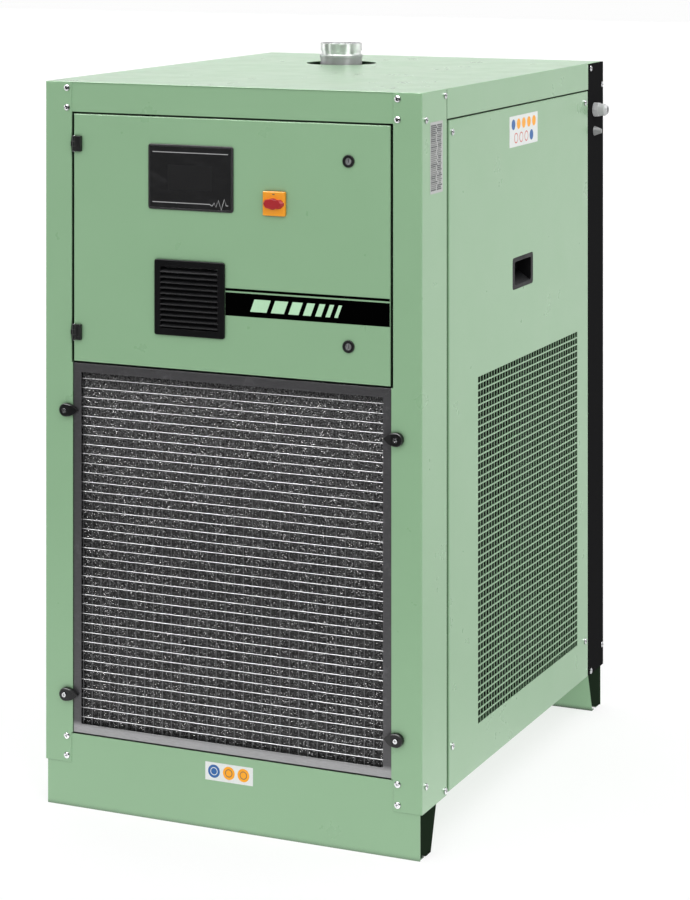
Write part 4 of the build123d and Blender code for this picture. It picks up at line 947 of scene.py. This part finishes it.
def studio_world():
    """Even white surround for the camera and for diffuse light. Shiny surfaces see a studio: a
    white wall behind, a soft box overhead, and a dark room in front with a few narrow lamps."""
    world = bpy.data.worlds.new("studio")
    bpy.context.scene.world = world
    world.use_nodes = True
    tree = world.node_tree
    tree.nodes.clear()

    def add(kind, **settings):
        node = tree.nodes.new(kind)
        for key, value in settings.items():
            setattr(node, key, value)
        return node

    def feed(socket, value):
        if isinstance(value, bpy.types.NodeSocket):
            tree.links.new(value, socket)
        else:
            socket.default_value = value

    def calc(operation, first, second=0.0):
        node = add("ShaderNodeMath", operation=operation)
        feed(node.inputs[0], first)
        feed(node.inputs[1], second)
        return node.outputs["Value"]

    def ramp(value, low, high, to_low=0.0, to_high=1.0):
        node = add("ShaderNodeMapRange", interpolation_type="SMOOTHSTEP")
        for name, entry in (
            ("Value", value), ("From Min", low), ("From Max", high), ("To Min", to_low), ("To Max", to_high)
        ):
            feed(node.inputs[name], entry)
        return node.outputs["Result"]

    direction = add("ShaderNodeSeparateXYZ")
    tree.links.new(add("ShaderNodeTexCoord").outputs["Generated"], direction.inputs["Vector"])
    x, y, z = (direction.outputs[name] for name in "XYZ")
    wall_behind = calc("MULTIPLY", ramp(y, 0.15, 0.55), ramp(x, 0.0, 0.4, 1.05, 0.98))
    soft_box = ramp(z, 0.5, 0.62, 0.0, 2.2)
    lamp_row = calc("MULTIPLY", ramp(z, 0.72, 0.82, 0.0, 14.0), ramp(y, 0.5, 0.35))
    overhead = calc("ADD", soft_box, lamp_row)
    azimuth = calc("ARCTAN2", x, calc("MULTIPLY", y, -1.0))
    stripes = calc("SINE", calc("MULTIPLY", azimuth, LAMP_COUNT))
    beside_camera = ramp(calc("ABSOLUTE", azimuth), 0.62, 0.75)
    lamps = calc("MULTIPLY", ramp(stripes, 0.1, 0.4, 0.0, 2.6), beside_camera)
    lamps = calc("MULTIPLY", lamps, calc("MULTIPLY", ramp(z, -0.2, -0.1), ramp(y, 0.35, 0.1)))
    room = calc("ADD", calc("MAXIMUM", lamps, overhead), 0.045)
    mirrored = calc("MAXIMUM", room, wall_behind)
    even = 0.98
    glossy_ray = add("ShaderNodeLightPath").outputs["Is Glossy Ray"]
    strength = calc("ADD", calc("MULTIPLY", calc("SUBTRACT", mirrored, even), glossy_ray), even)
    background = add("ShaderNodeBackground")
    background.inputs["Color"].default_value = (1, 1, 1, 1)
    tree.links.new(strength, background.inputs["Strength"])
    output = add("ShaderNodeOutputWorld")
    tree.links.new(background.outputs["Background"], output.inputs["Surface"])


def soft_light(name, location, target, size, energy):
    lamp = bpy.data.lights.new(name, "AREA")
    lamp.shape = "DISK"
    lamp.size = size
    lamp.energy = energy
    holder = bpy.data.objects.new(name, lamp)
    holder.location = location
    holder.rotation_euler = (Vector(target) - Vector(location)).to_track_quat("-Z", "Y").to_euler()
    bpy.context.scene.collection.objects.link(holder)


CAMERA_STATION = Vector((2.23491, -4.97546, 1.76258))
CAMERA_YAW = math.radians(24.0274)
CAMERA_LENS = 106.0145
PICTURE_SHIFT_X = -0.002698
PICTURE_SHIFT_Y = -0.617898


def camera():
    """Level camera to the right of the cabinet's front, with the picture shifted down, as a view
    camera does it to keep uprights upright. The shift only holds at the camera's own station."""
    lens = bpy.data.cameras.new("camera")
    holder = bpy.data.objects.new("camera", lens)
    bpy.context.scene.collection.objects.link(holder)
    holder.location = CAMERA_STATION
    holder.rotation_euler = (math.pi / 2, 0, CAMERA_YAW)
    lens.sensor_width = 36
    lens.lens = CAMERA_LENS
    lens.clip_start, lens.clip_end = 0.1, 200
    for path, shift in (("shift_x", PICTURE_SHIFT_X), ("shift_y", PICTURE_SHIFT_Y)):
        driver = lens.driver_add(path).driver
        driver.type = "SCRIPTED"
        for name, letter in (("x", "LOC_X"), ("y", "LOC_Y")):
            variable = driver.variables.new()
            variable.name = name
            variable.type = "TRANSFORMS"
            variable.targets[0].id = holder
            variable.targets[0].transform_type = letter
            variable.targets[0].transform_space = "WORLD_SPACE"
        near = f"(abs(x - {CAMERA_STATION.x}) + abs(y - {CAMERA_STATION.y}) < 0.001)"
        driver.expression = f"{shift} * {near}"
    bpy.context.scene.camera = holder


finish_cad_nodes()
perforated_panel()
side_shade_cloth()
wool_mat()
wool_strands()
display_print()
stripe_marks()
rating_plate_fields()
side_label_marks()
kick_label_marks()
switch_marks()
stage()
studio_world()
soft_light("key", (2.5, -3.5, 4.5), (0, 0, 0.8), 3.0, 45)
camera()

scene = bpy.context.scene
scene.view_settings.view_transform = "Standard"
scene.view_settings.look = "None"
